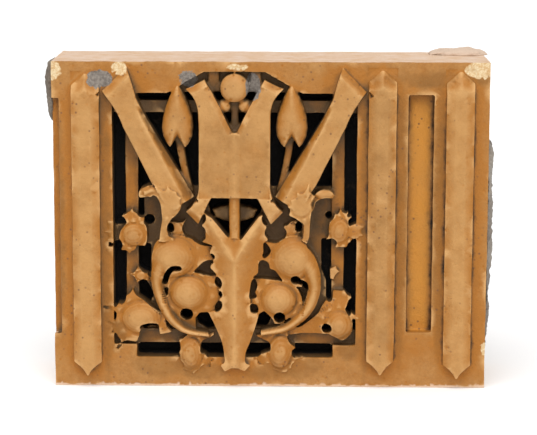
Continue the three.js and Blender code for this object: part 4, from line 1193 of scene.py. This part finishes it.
class TERRACOTTA_OT_stage(bpy.types.Operator):
    """Sets the pale floor, the soft light and the camera"""

    bl_idname = "terracotta.stage"
    bl_label = "Stage"

    def execute(self, context):
        clear_selection()
        context.scene.view_settings.view_transform = "Standard"
        bpy.ops.mesh.primitive_plane_add(size=40, location=(0, 12.0, -0.0002))
        floor = context.object
        floor.name = "floor"
        bpy.ops.object.transform_apply(location=True)
        pale = bpy.data.materials.new("pale_floor")
        pale.use_nodes = True
        shader = pale.node_tree.nodes["Principled BSDF"]
        shader.inputs["Base Color"].default_value = (0.92, 0.92, 0.92, 1)
        shader.inputs["Roughness"].default_value = 0.95
        shader.inputs["Specular IOR Level"].default_value = 0.1
        floor.data.materials.append(pale)
        world = bpy.data.worlds.new("studio")
        context.scene.world = world
        world.use_nodes = True
        world.node_tree.nodes["Background"].inputs[0].default_value = (1, 1, 1, 1)
        world.node_tree.nodes["Background"].inputs[1].default_value = 0.6
        for name, (aim, power, spread) in LIGHTS.items():
            light = bpy.data.lights.new(name, "SUN")
            light.energy, light.angle = power, math.radians(spread)
            lamp = bpy.data.objects.new(name, light)
            lamp.rotation_euler = Vector(aim).to_track_quat("-Z", "Y").to_euler()
            context.scene.collection.objects.link(lamp)
        camera = bpy.data.cameras.new("camera")
        camera.sensor_width, camera.lens = 36, CAMERA_LENS
        viewer = bpy.data.objects.new("camera", camera)
        viewer.location = Vector(CAMERA_PLACE) * MM
        pitch, yaw, roll = (math.radians(a) for a in CAMERA_TURN)
        viewer.rotation_euler = (math.pi / 2 - pitch, 0, -yaw)
        viewer.rotation_euler.rotate_axis("Z", -roll)
        context.scene.collection.objects.link(viewer)
        context.scene.camera = viewer
        return {"FINISHED"}


class TERRACOTTA_PT_panel(bpy.types.Panel):
    """Lists the colours, the sizes and the steps of the model"""

    bl_idname = "TERRACOTTA_PT_panel"
    bl_label = "Terracotta panel"
    bl_space_type = "VIEW_3D"
    bl_region_type = "UI"
    bl_category = "Terracotta"

    def draw(self, context):
        for operator in OPERATORS:
            self.layout.operator(operator.bl_idname)
        for group in (context.scene.terracotta_sizes, context.scene.terracotta_colours):
            for name in group.__annotations__:
                self.layout.prop(group, name)


OPERATORS = (TERRACOTTA_OT_panel, TERRACOTTA_OT_mortar, TERRACOTTA_OT_stage)
CLASSES = (TerracottaColours, TerracottaSizes, *OPERATORS, TERRACOTTA_PT_panel)


def register():
    for each in CLASSES:
        bpy.utils.register_class(each)
    bpy.types.Scene.terracotta_colours = bpy.props.PointerProperty(type=TerracottaColours)
    bpy.types.Scene.terracotta_sizes = bpy.props.PointerProperty(type=TerracottaSizes)


def unregister():
    del bpy.types.Scene.terracotta_sizes
    del bpy.types.Scene.terracotta_colours
    for each in reversed(CLASSES):
        bpy.utils.unregister_class(each)


def main():
    register()
    bpy.ops.terracotta.panel()
    bpy.ops.terracotta.mortar()
    bpy.ops.terracotta.stage()


if __name__ == "__main__":
    main()
